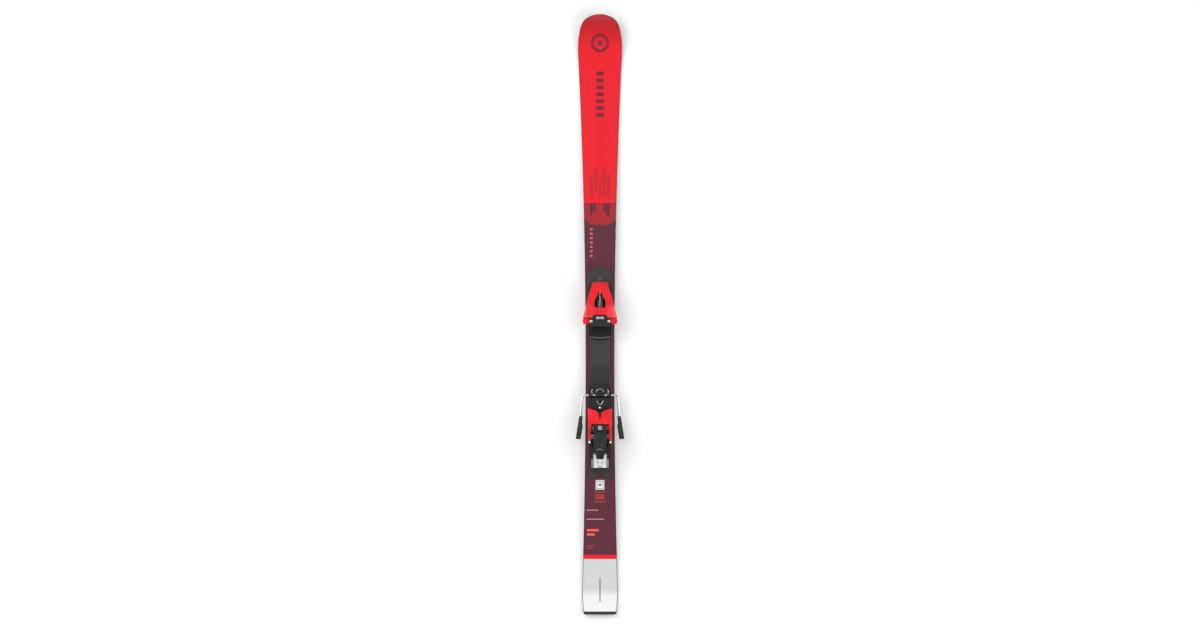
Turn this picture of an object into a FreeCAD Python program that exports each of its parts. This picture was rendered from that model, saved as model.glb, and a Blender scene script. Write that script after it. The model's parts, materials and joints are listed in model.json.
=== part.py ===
import FreeCAD, Part
import math
import os
import Sketcher

# Alpine ski with a step-in binding, in millimetres.
# +Y runs toward the tip, +X to the skier's right, +Z up.
# The origin is on the centre line at half the ski's length, on the plane that the ski rests on.

V = FreeCAD.Vector
doc = FreeCAD.newDocument("alpine_ski_with_binding")

DIMENSIONS = (
    # the ski's outline, seen from above
    ("ski_length", 1380, "overall length"),
    ("waist_width", 66, "width at the narrowest place"),
    ("waist_place", -115, "the narrowest place"),
    ("nose_radius", 58, "front of the tip"),
    ("nose_turn", 30, "degrees that the nose arc turns, each side"),
    ("shoulder_radius", 33, "corner of the tip"),
    ("shoulder_turn", 45, "degrees that the shoulder arc turns"),
    ("sidecut_lean", 2.8, "degrees that the sidecut leans out at the shovel"),
    ("tail_width", 82, "width where the tail is widest"),
    ("tail_widest", -632, "place where the tail is widest"),
    ("tail_end_width", 76, "width just before the tail's corners"),
    ("tail_corner", 5, "radius of the tail's corners"),
    ("protector_length", 7, "length of the tail protector"),
    # the ski's side view
    ("camber", 4.5, "height of the base over the floor at mid length"),
    ("tail_kick_radius", 104, "upturn of the tail"),
    ("tail_contact_rear", -650, "rear end of the flat contact zone at the tail"),
    ("tail_contact_front", -610, "front end of that zone"),
    ("tip_contact_rear", 510, "rear end of the flat contact zone at the shovel"),
    ("tip_contact_front", 550, "front end of that zone, where the tip starts to rise"),
    ("tip_rise_radius", 254, "upturn of the tip"),
    ("seat_level", 17.5, "height of the flat seat for the binding"),
    ("seat_front", 125, "front end of the seat"),
    ("seat_rear", -390, "rear end of the seat"),
    ("shovel_thickness", 6, "thickness at the shovel"),
    ("tip_thickness", 5.4, "thickness at the tip, measured upright"),
    ("tail_thickness", 6.5, "thickness at the tail's contact zone"),
    ("tail_end_thickness", 5.5, "thickness at the tail's end"),
    # the ski's layers
    ("base_thickness", 1.3, "running base"),
    ("edge_tall", 2, "steel edge, height"),
    ("edge_wide", 2.2, "steel edge, width"),
    ("sidewall_wide", 4.5, "sidewall, width"),
    ("laminate_thickness", 0.6, "upper laminate"),
    ("topsheet_thickness", 0.8, "top sheet"),
    ("topsheet_step", 1.2, "how far the top sheet stays back from the edge"),
    # interface plate
    ("plate_front", 109, "front end"),
    ("plate_rear", -375, "rear end"),
    ("plate_thickness", 8, "thickness"),
    ("plate_toe_half", 28, "half width under the toe piece"),
    ("plate_mid_half", 22.5, "half width between toe and heel"),
    ("plate_heel_half", 26, "half width under the heel piece"),
    ("plate_nose_round", 22, "corner radius at the front"),
    ("plate_notch_radius", 13.2, "arched notch at the rear"),
    # fasteners
    ("screw_shank", 2.5, "shank radius of the mounting screws"),
    ("screw_head", 4.6, "head radius"),
    ("screw_sink", 2.4, "depth of the countersunk head"),
    ("socket_radius", 1.9, "radius of the star socket"),
    ("socket_depth", 1.8, "depth of the socket"),
    # toe piece
    ("toe_front", 76, "front of the housing"),
    ("toe_rear", -6, "rear edge of the housing's roof"),
    ("toe_flare", 10, "where the side walls end and the wings begin"),
    ("toe_base_level", 31.5, "top of the toe base"),
    ("toe_top", 74, "top of the housing"),
    ("roof_underside", 60.5, "underside of the roof over the wings"),
    ("shell_wall", 3, "wall of the housing"),
    ("rod_level", 44, "height of the pull rod"),
    ("rod_radius", 2.5, "pull rod"),
    ("toe_spring_radius", 6, "mean radius of the toe spring"),
    ("toe_spring_wire", 0.9, "wire radius of the toe spring"),
    ("wing_pin_across", 19.8, "wing pins, distance from the centre line"),
    ("wing_pin_along", -14, "wing pins, along the ski"),
    ("wing_pin_radius", 2.6, "wing pin"),
    ("pin_head_radius", 3.8, "head of a wing pin"),
    ("wing_hub", 6.5, "radius of the wing's hub"),
    ("lip_level", 54.8, "underside of the hold-down lip"),
    ("running_gap", 0.05, "radial play of a pivot"),
    # gliding sole plate
    ("glide_front", -28, "front of the gliding plate"),
    ("glide_rear", -48.5, "rear of the gliding plate"),
    ("glide_half", 25.5, "half width of the gliding plate"),
    ("glide_level", 34.5, "top of the gliding plate, where the boot's toe rests"),
    # heel track and carriage
    ("track_front", -119, "front end of the heel track"),
    ("track_rear", -361, "rear end of the heel track"),
    ("track_half", 18, "half width of the track's flange"),
    ("track_neck", 14, "half width of the track's neck"),
    ("track_neck_top", 27.4, "underside of the flange"),
    ("track_top", 29, "top of the track"),
    ("rack_pitch", 5, "pitch of the length rack"),
    ("rack_first", -303.5, "front edge of the first rack slot"),
    ("rack_slot", 4, "length of a rack slot"),
    ("rack_half", 5, "half width of a rack slot"),
    ("carriage_half", 25, "half width of the carriage"),
    ("carriage_rear", -331, "rear end of the carriage"),
    ("carriage_play", 0.3, "play between the carriage and its track"),
    ("bracket_seat", 34.3, "top of the carriage under the steel bracket"),
    ("carriage_front_top", 36, "top of the carriage under the heel cup"),
    ("bracket_top", 36, "top of the bracket's foot"),
    ("bracket_rear", -303, "rear end of the bracket's foot"),
    ("tab_hinge", -321.5, "hinge of the length lock's tab, along the ski"),
    ("tab_hinge_level", 37.3, "height of that hinge"),
    ("tab_pin_radius", 1, "hinge pins of the tab"),
    ("cheek_inner", 16.5, "inner face of the bracket's cheeks"),
    ("cheek_outer", 19.5, "outer face of the cheeks"),
    # heel piece
    ("pivot_along", -281, "heel axle, along the ski"),
    ("pivot_level", 50, "heel axle, height"),
    ("axle_radius", 3, "heel axle"),
    ("cup_half", 27.5, "half width of the heel cup"),
    ("arm_inner", 20, "inner face of the cup's side arms"),
    ("cup_front", -212, "front corners of the cup's lip"),
    ("cup_notch", -222, "bottom of the notch in the lip"),
    ("cup_lip_level", 66, "underside of the lip, over the boot's heel"),
    ("cup_back", -249.5, "rear face of the cup's wall"),
    ("housing_half", 15.5, "half width of the heel housing"),
    ("housing_rear", -312, "rear face of the heel housing"),
    ("heel_bore_level", 64, "height of the heel spring's axis"),
    ("heel_bore_radius", 7.6, "bore for the heel spring"),
    ("heel_spring_radius", 5.9, "mean radius of the heel spring"),
    ("heel_spring_wire", 1.2, "wire radius of the heel spring"),
    ("lever_pin_along", -275, "lever pin, along the ski"),
    ("lever_pin_level", 85, "lever pin, height"),
    ("lever_pin_radius", 2, "lever pin"),
    # brake
    ("brake_along", -184, "brake axis, along the ski"),
    ("brake_level", 35.5, "brake axis, height"),
    ("brake_wire_radius", 2.4, "brake wire"),
    ("brake_bend", 7, "bend radius of the wire"),
    ("brake_corner", 40.5, "distance of the wire's corner from the centre line"),
    ("brake_base_rear", -212, "rear corners of the brake base"),
    ("brake_base_point", -221, "rear point of the brake base"),
    ("brake_base_top", 40.5, "top of the base behind the pedal"),
    ("brake_screw_sunk", 2.9, "how deep the brake screw's head is sunk"),
    ("pedal_half", 22, "half width of the pedal"),
    ("pedal_front", -159, "front of the pedal"),
    ("pedal_top", 41, "top of the pressed pedal"),
)


def make_sheet():
    """The driving dimensions, one alias a row."""
    table = doc.addObject("Spreadsheet::Sheet", "dim")
    for row, (alias, value, note) in enumerate(DIMENSIONS, start=1):
        table.set(f"A{row}", alias)
        table.set(f"B{row}", str(value))
        table.set(f"C{row}", note)
        table.setAlias(f"B{row}", alias)
    doc.recompute()
    return table


sheet = make_sheet()
subparts = []
NORMALS = {"XY_Plane": V(0, 0, 1), "XZ_Plane": V(0, -1, 0), "YZ_Plane": V(1, 0, 0)}
START_RING = 40
NEAR = 0.01


def size(alias):
    """A driving dimension, as a number."""
    return float(sheet.get(alias))


def keep(thing, label):
    """Mark a document object as a sub-part with its own label."""
    thing.Label = label
    subparts.append(thing)
    return thing


# --- building blocks ---------------------------------------------------------------------------


def mirrored_outline(half):
    """A right-hand half outline, front to rear, closed by its mirror image."""
    left = [(f"-({across})", along) for across, along in reversed(half) if across != "0"]
    return list(half) + left


def bound_sketch(body, plane, outline, offset=None):
    """A closed polygon on one of the body's planes, each corner bound to the sheet."""
    sketch = body.newObject("Sketcher::SketchObject", body.Name + "_outline")
    support = [item for item in body.Origin.OriginFeatures if item.Role == plane][0]
    sketch.AttachmentSupport = [(support, "")]
    sketch.MapMode = "FlatFace"
    if offset:
        sketch.setExpression("AttachmentOffset.Base.z", offset)
    count = len(outline)
    turns = [2 * math.pi * place / count for place in range(count)]
    ring = [V(START_RING * math.cos(turn), START_RING * math.sin(turn), 0) for turn in turns]
    for place in range(count):
        sketch.addGeometry(Part.LineSegment(ring[place], ring[(place + 1) % count]), False)
    for place in range(count):
        sketch.addConstraint(Sketcher.Constraint("Coincident", place, 2, (place + 1) % count, 1))
    for place, (first, second) in enumerate(outline):
        across = sketch.addConstraint(Sketcher.Constraint("DistanceX", place, 1, ring[place].x))
        sketch.setExpression(f"Constraints[{across}]", first)
        along = sketch.addConstraint(Sketcher.Constraint("DistanceY", place, 1, ring[place].y))
        sketch.setExpression(f"Constraints[{along}]", second)
    doc.recompute()
    return sketch


def corner_edges(shape, sketch, corners, direction):
    """Names of the straight edges that start at the sketch's given corners."""
    names = []
    for corner in corners:
        place = sketch.Placement.multVec(sketch.getPoint(corner, 1))
        for number, edge in enumerate(shape.Edges, start=1):
            if not isinstance(edge.Curve, Part.Line):
                continue
            start = edge.Vertexes[0].Point
            along = edge.Vertexes[-1].Point - start
            along.normalize()
            if along.cross(direction).Length > NEAR:
                continue
            if (start - place).cross(direction).Length < NEAR:
                names.append(f"Edge{number}")
    return names


def extruded(name, plane, outline, length, offset=None, rounds=(), symmetric=False):
    """A body with one padded outline; rounds holds (corner numbers, radius) pairs."""
    body = doc.addObject("PartDesign::Body", name)
    sketch = bound_sketch(body, plane, outline, offset)
    pad = body.newObject("PartDesign::Pad", name + "_pad")
    pad.Profile = sketch
    if symmetric:
        pad.SideType = "Symmetric"
    pad.setExpression("Length", length)
    doc.recompute()
    for number, (corners, radius) in enumerate(rounds):
        before = body.Tip
        names = corner_edges(body.Shape, sketch, corners, NORMALS[plane])
        fillet = body.newObject("PartDesign::Fillet", f"{name}_round_{number}")
        fillet.Base = (before, names)
        fillet.setExpression("Radius", radius)
        body.Tip = fillet
        doc.recompute()
    return body


def round_rim(body, axis, top, radius):
    """Round every edge that lies in the body's extreme plane along an axis."""
    box = body.Shape.BoundBox
    level = getattr(box, axis + ("Max" if top else "Min"))
    names = []
    for number, edge in enumerate(body.Shape.Edges, start=1):
        reach = edge.BoundBox
        low = getattr(reach, axis + "Min")
        high = getattr(reach, axis + "Max")
        if abs(low - level) < NEAR and abs(high - level) < NEAR:
            names.append(f"Edge{number}")
    before = body.Tip
    fillet = body.newObject("PartDesign::Fillet", body.Name + "_rim_" + axis)
    fillet.Base = (before, names)
    fillet.setExpression("Radius", radius)
    body.Tip = fillet
    doc.recompute()
    return body


def combined(kind, name, first, others):
    """A Part boolean: Common, Cut or Fuse of one object with others."""
    result = first
    for number, other in enumerate(others):
        step = doc.addObject("Part::" + kind, f"{name}_{kind.lower()}_{number}")
        step.Base = result
        step.Tool = other
        result = step
    doc.recompute()
    return result


def cylinder(name, radius, length, direction, across, along, level):
    """A cylinder from a point along +X, +Y or +Z."""
    rod = doc.addObject("Part::Cylinder", name)
    rod.setExpression("Radius", radius)
    rod.setExpression("Height", length)
    rod.Placement = FreeCAD.Placement(V(), FreeCAD.Rotation(V(0, 0, 1), direction))
    rod.setExpression("Placement.Base.x", across)
    rod.setExpression("Placement.Base.y", along)
    rod.setExpression("Placement.Base.z", level)
    doc.recompute()
    return rod


def block(name, across, along, level, wide, deep, tall):
    """A box centred on X, from its rear lower edge."""
    box = doc.addObject("Part::Box", name)
    box.setExpression("Length", wide)
    box.setExpression("Width", deep)
    box.setExpression("Height", tall)
    box.setExpression("Placement.Base.x", f"{across} - ({wide})/2")
    box.setExpression("Placement.Base.y", along)
    box.setExpression("Placement.Base.z", level)
    doc.recompute()
    return box


def mirror_of(name, source):
    """The same thing on the other side of the ski."""
    twin = doc.addObject("Part::Mirroring", name)
    twin.Source = source
    twin.Normal = V(1, 0, 0)
    doc.recompute()
    return twin


def made(name, shape):
    """A feature whose shape is worked out here from the sheet."""
    thing = doc.addObject("Part::Feature", name)
    thing.Shape = shape
    thing.Placement = shape.Placement
    return thing


# --- the ski's outline and side view -----------------------------------------------------------


def arc_on(start, heading, radius, turn):
    """An arc from a point; the heading is an angle from +X and a positive turn is clockwise."""
    side = 1 if turn > 0 else -1
    normal = V(math.sin(heading), -math.cos(heading), 0) * side
    centre = start + normal * radius
    points = []
    for share in (0.5, 1):
        spin = FreeCAD.Rotation(V(0, 0, -1), math.degrees(turn * share))
        points.append(centre + spin.multVec(start - centre))
    return Part.Arc(start, points[0], points[1]).toShape(), points[1], heading - turn


def half_outline_edges():
    """The right-hand half of the ski's outline, from the nose to the middle of the tail."""
    nose_turn = math.radians(size("nose_turn"))
    shoulder_turn = math.radians(size("shoulder_turn"))
    lean = math.radians(size("sidecut_lean"))
    half_length = size("ski_length") / 2
    waist = V(size("waist_width") / 2, size("waist_place"), 0)
    edges = []
    place = V(0, half_length, 0)
    heading = 0
    for radius, turn in ((size("nose_radius"), nose_turn), (size("shoulder_radius"), shoulder_turn)):
        edge, place, heading = arc_on(place, heading, radius, turn)
        edges.append(edge)
    # the flank arc and the front sidecut arc meet tangentially and end upright at the waist
    turned = nose_turn + shoulder_turn
    flank_across = math.cos(lean) - math.sin(turned)
    flank_along = math.cos(turned) + math.sin(lean)
    cut_across = 1 - math.cos(lean)
    cut_along = math.sin(lean)
    room_across = waist.x - place.x
    room_along = place.y - waist.y
    flank = room_along * cut_across + room_across * cut_along
    flank = flank / (flank_across * cut_along + flank_along * cut_across)
    sidecut = (room_along - flank * flank_along) / cut_along
    edge, place, heading = arc_on(place, heading, flank, math.pi / 2 + lean - turned)
    edges.append(edge)
    edge, place, heading = arc_on(place, heading, sidecut, -lean)
    edges.append(edge)
    tail_half = size("tail_width") / 2
    drop = waist.y - size("tail_widest")
    grow = tail_half - waist.x
    rear_radius = (drop**2 + grow**2) / (2 * grow)
    edge, place, heading = arc_on(place, heading, rear_radius, -math.asin(drop / rear_radius))
    edges.append(edge)
    corner = size("tail_corner")
    end_half = size("tail_end_width") / 2
    corner_start = V(end_half, corner - half_length, 0)
    middle = (place + corner_start) / 2 + V((tail_half - end_half) / 4, 0, 0)
    edges.append(Part.Arc(place, middle, corner_start).toShape())
    bow = corner * math.sqrt(0.5)
    corner_middle = V(end_half - corner + bow, corner - bow - half_length, 0)
    corner_end = V(end_half - corner, -half_length, 0)
    edges.append(Part.Arc(corner_start, corner_middle, corner_end).toShape())
    edges.append(Part.makeLine(corner_end, V(0, -half_length, 0)))
    return edges


def outline_wire():
    right = half_outline_edges()
    left = [edge.mirror(V(), V(1, 0, 0)) for edge in right]
    return Part.Wire(Part.__sortEdges__(right + left))


def upright(wire):
    """The space over and under a closed outline."""
    lowest = -10
    tallest = 90
    blank = Part.Face(wire).extrude(V(0, 0, tallest - lowest))
    blank.translate(V(0, 0, lowest))
    return blank


def bezier(*points):
    curve = Part.BezierCurve()
    curve.setPoles([V(0, along, level) for along, level in points])
    return curve.toShape()


def rise(radius, run):
    """Height of an upturned end, a given run past its contact zone."""
    return radius - math.sqrt(radius**2 - run**2)


END_MARGIN = 10


def rising_arc(start, radius, end, low=0, high=0):
    """The side view of an upturned end; low and high raise its start and its end."""
    middle = (start + end) / 2
    points = [V(0, start, low)]
    points.append(V(0, middle, rise(radius, abs(middle - start)) + (low + high) / 2))
    points.append(V(0, end, rise(radius, abs(end - start)) + high))
    return Part.Arc(*points).toShape()


def base_line(lift=0):
    """The side view of the running base, or of a layer's face that far above it."""
    tail = size("tail_contact_rear")
    tail_in = size("tail_contact_front")
    tip_in = size("tip_contact_rear")
    tip = size("tip_contact_front")
    middle = (tail_in + tip_in) / 2
    camber = size("camber")
    rear_quarter = (tail_in + middle) / 2
    front_quarter = (tip_in + middle) / 2
    end = size("ski_length") / 2 + END_MARGIN
    edges = [
        rising_arc(tail, size("tail_kick_radius"), -end),
        Part.makeLine(V(0, tail, 0), V(0, tail_in, 0)),
        bezier((tail_in, 0), (rear_quarter, 0), (rear_quarter, camber), (middle, camber)),
        bezier((middle, camber), (front_quarter, camber), (front_quarter, 0), (tip_in, 0)),
        Part.makeLine(V(0, tip_in, 0), V(0, tip, 0)),
        rising_arc(tip, size("tip_rise_radius"), end),
    ]
    return [edge.translated(V(0, 0, lift)) for edge in edges]


def top_line(drop=0):
    """The side view of the ski's top, or of a layer's face that far below it."""
    tail = size("tail_contact_rear")
    tip = size("tip_contact_front")
    seat = size("seat_level")
    seat_front = size("seat_front")
    seat_rear = size("seat_rear")
    tail_thickness = size("tail_thickness")
    shovel = size("shovel_thickness")
    front_third = (tip - seat_front) / 3
    rear_third = (seat_rear - tail) / 3
    end = size("ski_length") / 2 + END_MARGIN
    edges = [
        rising_arc(tail, size("tail_kick_radius"), -end, tail_thickness, size("tail_end_thickness")),
        bezier(
            (tail, tail_thickness),
            (tail + rear_third, tail_thickness + 1),
            (seat_rear - rear_third, seat),
            (seat_rear, seat),
        ),
        Part.makeLine(V(0, seat_rear, seat), V(0, seat_front, seat)),
        bezier(
            (seat_front, seat),
            (seat_front + front_third, seat),
            (tip - front_third, shovel + 1),
            (tip, shovel),
        ),
        rising_arc(tip, size("tip_rise_radius"), end, shovel, size("tip_thickness")),
    ]
    return [edge.translated(V(0, 0, -drop)) for edge in edges]


def layer(lower, upper):
    """The space between two side-view lines, across the whole width."""
    half_width = 80
    ends = []
    for pick in (0, -1):
        low = Part.Wire(Part.__sortEdges__(lower)).OrderedVertexes[pick].Point
        high = Part.Wire(Part.__sortEdges__(upper)).OrderedVertexes[pick].Point
        ends.append(Part.makeLine(low, high))
    side = Part.Wire(Part.__sortEdges__(lower + upper + ends))
    slab = Part.Face(side).extrude(V(2 * half_width, 0, 0))
    slab.translate(V(-half_width, 0, 0))
    return slab


def half_space(side):
    """Everything on one side of the centre line."""
    reach = 2000
    box = Part.makeBox(reach, 2 * reach, reach, V(0, -reach, -reach / 2))
    if side < 0:
        box = box.mirror(V(), V(1, 0, 0))
    return box


# --- fasteners ---------------------------------------------------------------------------------

PLATE_SCREWS = ((0, 83), (15, 50), (-15, 50), (15, 5), (-15, 5))
PLATE_SCREWS += ((21.8, -205), (-21.8, -205), (21.8, -300), (-21.8, -300))
TOE_SCREWS = ((9, 62), (-9, 62), (19, 27), (-19, 27))
TRACK_SCREWS = tuple((side * 10.5, along) for along in (-178, -250, -308) for side in (1, -1))
PLATE_SCREW_FOOT = 8
SHORT_SCREW_FOOT = 19


def screws(places, head_level, foot_level):
    """Countersunk star-socket screws, one solid each."""
    shank = size("screw_shank")
    head = size("screw_head")
    sink = size("screw_sink")
    solids = []
    for across, along in places:
        stem = Part.makeCylinder(shank, head_level - foot_level, V(across, along, foot_level))
        cone = Part.makeCone(shank, head, sink, V(across, along, head_level - sink))
        star = [
            Part.makeCylinder(
                size("socket_radius") / 2,
                size("socket_depth"),
                V(
                    across + size("socket_radius") / 2 * math.cos(turn * math.pi / 3),
                    along + size("socket_radius") / 2 * math.sin(turn * math.pi / 3),
                    head_level - size("socket_depth"),
                ),
            )
            for turn in range(6)
        ]
        solids.append(stem.fuse(cone).cut(star).removeSplitter())
    return Part.makeCompound(solids)


def seats(places, head_level, foot_level):
    """The holes that those screws sit in."""
    solids = []
    for across, along in places:
        point = V(across, along, foot_level)
        stem = Part.makeCylinder(size("screw_shank"), head_level - foot_level, point)
        sink = size("screw_sink")
        mouth = V(across, along, head_level - sink)
        cone = Part.makeCone(size("screw_shank"), size("screw_head"), sink, mouth)
        solids.append(stem.fuse(cone))
    return Part.makeCompound(solids)


def drilled(name, thing, places, head_level, foot_level):
    """The same thing with those holes in it."""
    holes = made(name + "_holes", seats(places, head_level, foot_level))
    return combined("Cut", name + "_drilled", thing, [holes])


def plate_top():
    return size("seat_level") + size("plate_thickness")


# --- the ski -----------------------------------------------------------------------------------


def build_ski():
    outline = outline_wire()
    whole = upright(outline)
    inside_edges = upright(outline.makeOffset2D(-size("edge_wide")))
    inside_walls = upright(outline.makeOffset2D(-size("sidewall_wide")))
    inside_step = upright(outline.makeOffset2D(-size("topsheet_step")))
    tail_face = size("protector_length") - size("ski_length") / 2
    reach = 2000
    ahead = Part.makeBox(reach, reach, reach, V(-reach / 2, tail_face, -reach / 2))
    base = size("base_thickness")
    edge = size("edge_tall")
    sheet_drop = size("topsheet_thickness")
    laminate_drop = sheet_drop + size("laminate_thickness")
    rim = whole.cut(inside_edges).common(ahead)
    wall = whole.cut(inside_walls).common(ahead)
    edge_layer = layer(base_line(), base_line(edge))
    wall_layer = layer(base_line(edge), top_line(sheet_drop))
    deep_holes = seats(PLATE_SCREWS, plate_top(), PLATE_SCREW_FOOT)
    sheets = {
        "base_sheet": (inside_edges, layer(base_line(), base_line(base))),
        "lower_laminate": (inside_edges, layer(base_line(base), base_line(edge))),
        "wood_core": (inside_walls, layer(base_line(edge), top_line(laminate_drop))),
        "upper_laminate": (inside_walls, layer(top_line(laminate_drop), top_line(sheet_drop))),
        "topsheet": (inside_step, layer(top_line(sheet_drop), top_line())),
    }
    for name, (plan, slab) in sheets.items():
        shape = slab.common(plan).common(ahead)
        if name in ("wood_core", "upper_laminate", "topsheet"):
            shape = shape.cut(deep_holes)
        keep(made(name, shape), name)
    for side, word in ((-1, "left"), (1, "right")):
        half = half_space(side)
        keep(made("steel_edge_" + word, edge_layer.common(rim).common(half)), "steel_edge_" + word)
        keep(made("sidewall_" + word, wall_layer.common(wall).common(half)), "sidewall_" + word)
    behind = Part.makeBox(reach, reach, reach, V(-reach / 2, tail_face - reach, -reach / 2))
    tail = layer(base_line(), top_line()).common(whole).common(behind)
    keep(made("tail_protector", tail), "tail_protector")


def build_plate():
    half = [
        ("dim.plate_toe_half", "dim.plate_front"),
        ("dim.plate_toe_half", "-32"),
        ("dim.plate_mid_half", "-56"),
        ("dim.plate_mid_half", "-130"),
        ("dim.plate_heel_half", "-152"),
        ("dim.plate_heel_half", "dim.plate_rear"),
    ]
    rounds = [((0, 11), "dim.plate_nose_round"), ((5, 6), "3"), ((1, 2, 3, 4, 7, 8, 9, 10), "20")]
    outline = mirrored_outline(half)
    body = extruded("plate_body", "XY_Plane", outline, "dim.plate_thickness", "dim.seat_level", rounds)
    round_rim(body, "Z", True, "1.2")
    notch_centre = "dim.plate_rear - 2.2"
    notch = cylinder(
        "plate_notch", "dim.plate_notch_radius", "40", V(0, 0, 1), "0", notch_centre, "0"
    )
    plate = combined("Cut", "plate_notched", body, [notch])
    plate = drilled("plate", plate, PLATE_SCREWS, plate_top(), PLATE_SCREW_FOOT)
    plate = drilled("plate_toe", plate, TOE_SCREWS, size("toe_base_level"), SHORT_SCREW_FOOT)
    plate = drilled("plate_track", plate, TRACK_SCREWS, size("track_top"), SHORT_SCREW_FOOT)
    keep(plate, "interface_plate")
    keep(made("plate_fasteners", screws(PLATE_SCREWS, plate_top(), PLATE_SCREW_FOOT)), "plate_screws")


# --- toe piece ---------------------------------------------------------------------------------

PLATE_TOP = "(dim.seat_level + dim.plate_thickness)"


def toe_base():
    half = [
        ("14", "dim.toe_front - 7"),
        ("23.5", "36"),
        ("25.5", "18"),
        ("25.5", "dim.glide_front + 0.7"),
    ]
    outline = mirrored_outline(half)
    tall = "dim.toe_base_level - " + PLATE_TOP
    body = extruded("toe_base_body", "XY_Plane", outline, tall, PLATE_TOP, [((0, 7), "8")])
    seat_tall = "dim.rod_level + 9 - dim.toe_base_level"
    seat = block("toe_spring_seat", "0", "10", "dim.toe_base_level", "18", "3", seat_tall)
    rod_hole = cylinder(
        "toe_rod_hole", "dim.rod_radius + 0.3", "20", V(0, 1, 0), "0", "2", "dim.rod_level"
    )
    solid = combined("Fuse", "toe_base_seat", body, [seat])
    pins = [pin_hole(f"toe_base_pin_{side}", side, "0") for side in (-1, 1)]
    solid = combined("Cut", "toe_base_cut", solid, [rod_hole] + pins)
    solid = drilled("toe_base", solid, TOE_SCREWS, size("toe_base_level"), SHORT_SCREW_FOOT)
    keep(solid, "toe_base")
    fasteners = screws(TOE_SCREWS, size("toe_base_level"), SHORT_SCREW_FOOT)
    keep(made("toe_fasteners", fasteners), "toe_screws")


def pin_hole(name, side, play):
    """The space of a wing pin's shank, with some play."""
    across = f"{side} * dim.wing_pin_across"
    radius = f"dim.wing_pin_radius + {play}"
    return cylinder(name, radius, "40", V(0, 0, 1), across, "dim.wing_pin_along", "28")


def housing_blank(name, inset, bottom):
    """The housing's outer form, or its hollow when inset by the wall."""
    plan_half = [
        (f"17.5 - {inset}", f"dim.toe_front - {inset}"),
        (f"19 - {inset}", f"66 - {inset}/2"),
        (f"28 - {inset}", "39"),
        (f"30.5 - {inset}", "26"),
        (f"35 - {inset}", "10"),
        (f"39 - {inset}", "dim.toe_rear"),
    ]
    plan_rounds = [((0, 11), f"7 - {inset}"), ((1, 2, 9, 10), "30")]
    plan = extruded(
        name + "_plan", "XY_Plane", mirrored_outline(plan_half), "80", bottom, plan_rounds
    )
    side = [
        (f"dim.toe_front - {inset}", "20"),
        (f"dim.toe_front - {inset}", f"46 - {inset}"),
        (f"66 - {inset}/2", f"55 - {inset}"),
        ("36", f"66.5 - {inset}"),
        ("10", f"dim.toe_top - {inset}"),
        ("dim.toe_rear", f"dim.toe_top - 1 - {inset}"),
        ("dim.toe_rear", "20"),
    ]
    side_rounds = [((1,), f"6 - {inset}"), ((2,), "20"), ((3, 4), "30")]
    profile = extruded(name + "_side", "YZ_Plane", side, "120", None, side_rounds, True)
    arch_half = [
        ("0", f"dim.toe_top + 1 - {inset}"),
        ("16", f"dim.toe_top - 1 - {inset}"),
        ("31", f"68 - {inset}"),
        ("46", f"57.5 - {inset}"),
        ("46", "10"),
    ]
    arch = extruded(
        name + "_arch",
        "XZ_Plane",
        mirrored_outline(arch_half),
        "200",
        None,
        [((1, 2, 7, 8), "14")],
        True,
    )
    return combined("Common", name, plan, [profile, arch])


def toe_housing():
    shell = housing_blank("toe_shell", "0", "dim.toe_base_level")
    hollow = housing_blank("toe_hollow", "dim.shell_wall", "10")
    wing_room = block(
        "toe_wing_room", "0", "-60", "0", "120", "dim.toe_flare + 60", "dim.roof_underside"
    )
    window_outline = mirrored_outline([("0", "58"), ("13.5", "30"), ("12", "17")])
    window = extruded(
        "toe_window_opening",
        "XY_Plane",
        window_outline,
        "60",
        "40",
        [((0,), "3"), ((1, 4), "16"), ((2, 3), "4")],
    )
    bridge_room = extruded(
        "toe_bridge_room",
        "XY_Plane",
        mirrored_outline(BRIDGE_PLAN),
        "80",
        "20",
        [((0, 5), "3")],
    )
    nose_hole = cylinder(
        "toe_nose_hole", "5.9", "12", V(0, 1, 0), "0", "dim.toe_front - 8", "dim.rod_level - 3"
    )
    tools = [hollow, wing_room, window, bridge_room, nose_hole]
    keep(combined("Cut", "toe_shell", shell, tools), "toe_housing")


BRIDGE_PLAN = [("12.5", "0.5"), ("17", "-4"), ("24.5", "dim.glide_front")]


def toe_bridge():
    rounds = [((0, 5), "3"), ((2, 3), "3")]
    plan = extruded("bridge_plan", "XY_Plane", mirrored_outline(BRIDGE_PLAN), "80", "20", rounds)
    side = [
        ("8", "dim.lip_level"),
        ("8", "70.5"),
        ("-12", "68"),
        ("-21", "63"),
        ("dim.glide_front", "60"),
        ("dim.glide_front", "dim.lip_level"),
    ]
    profile = extruded(
        "bridge_side", "YZ_Plane", side, "100", None, [((2, 3), "8"), ((4,), "2")], True
    )
    pocket = block("bridge_pocket", "0", "-9.6", "64", "19", "6.2", "20")
    tools = [pocket]
    for side_sign in (-1, 1):
        tools.append(pin_hole(f"bridge_pin_{side_sign}", side_sign, "0.1"))
        tools.append(
            cylinder(
                f"bridge_counterbore_{side_sign}",
                "dim.pin_head_radius + 0.3",
                "30",
                V(0, 0, 1),
                f"{side_sign} * dim.wing_pin_across",
                "dim.wing_pin_along",
                "61",
            )
        )
    body = combined("Common", "bridge", plan, [profile])
    keep(combined("Cut", "bridge", body, tools), "toe_bridge")
    lens = block("toe_lens", "0", "-9.5", "67", "18.8", "6", "1.2")
    keep(lens, "toe_window_lens")
    pointer = block("toe_pointer", "0", "-8.2", "64.3", "2", "3.4", "1.8")
    keep(pointer, "toe_indicator")


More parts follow.
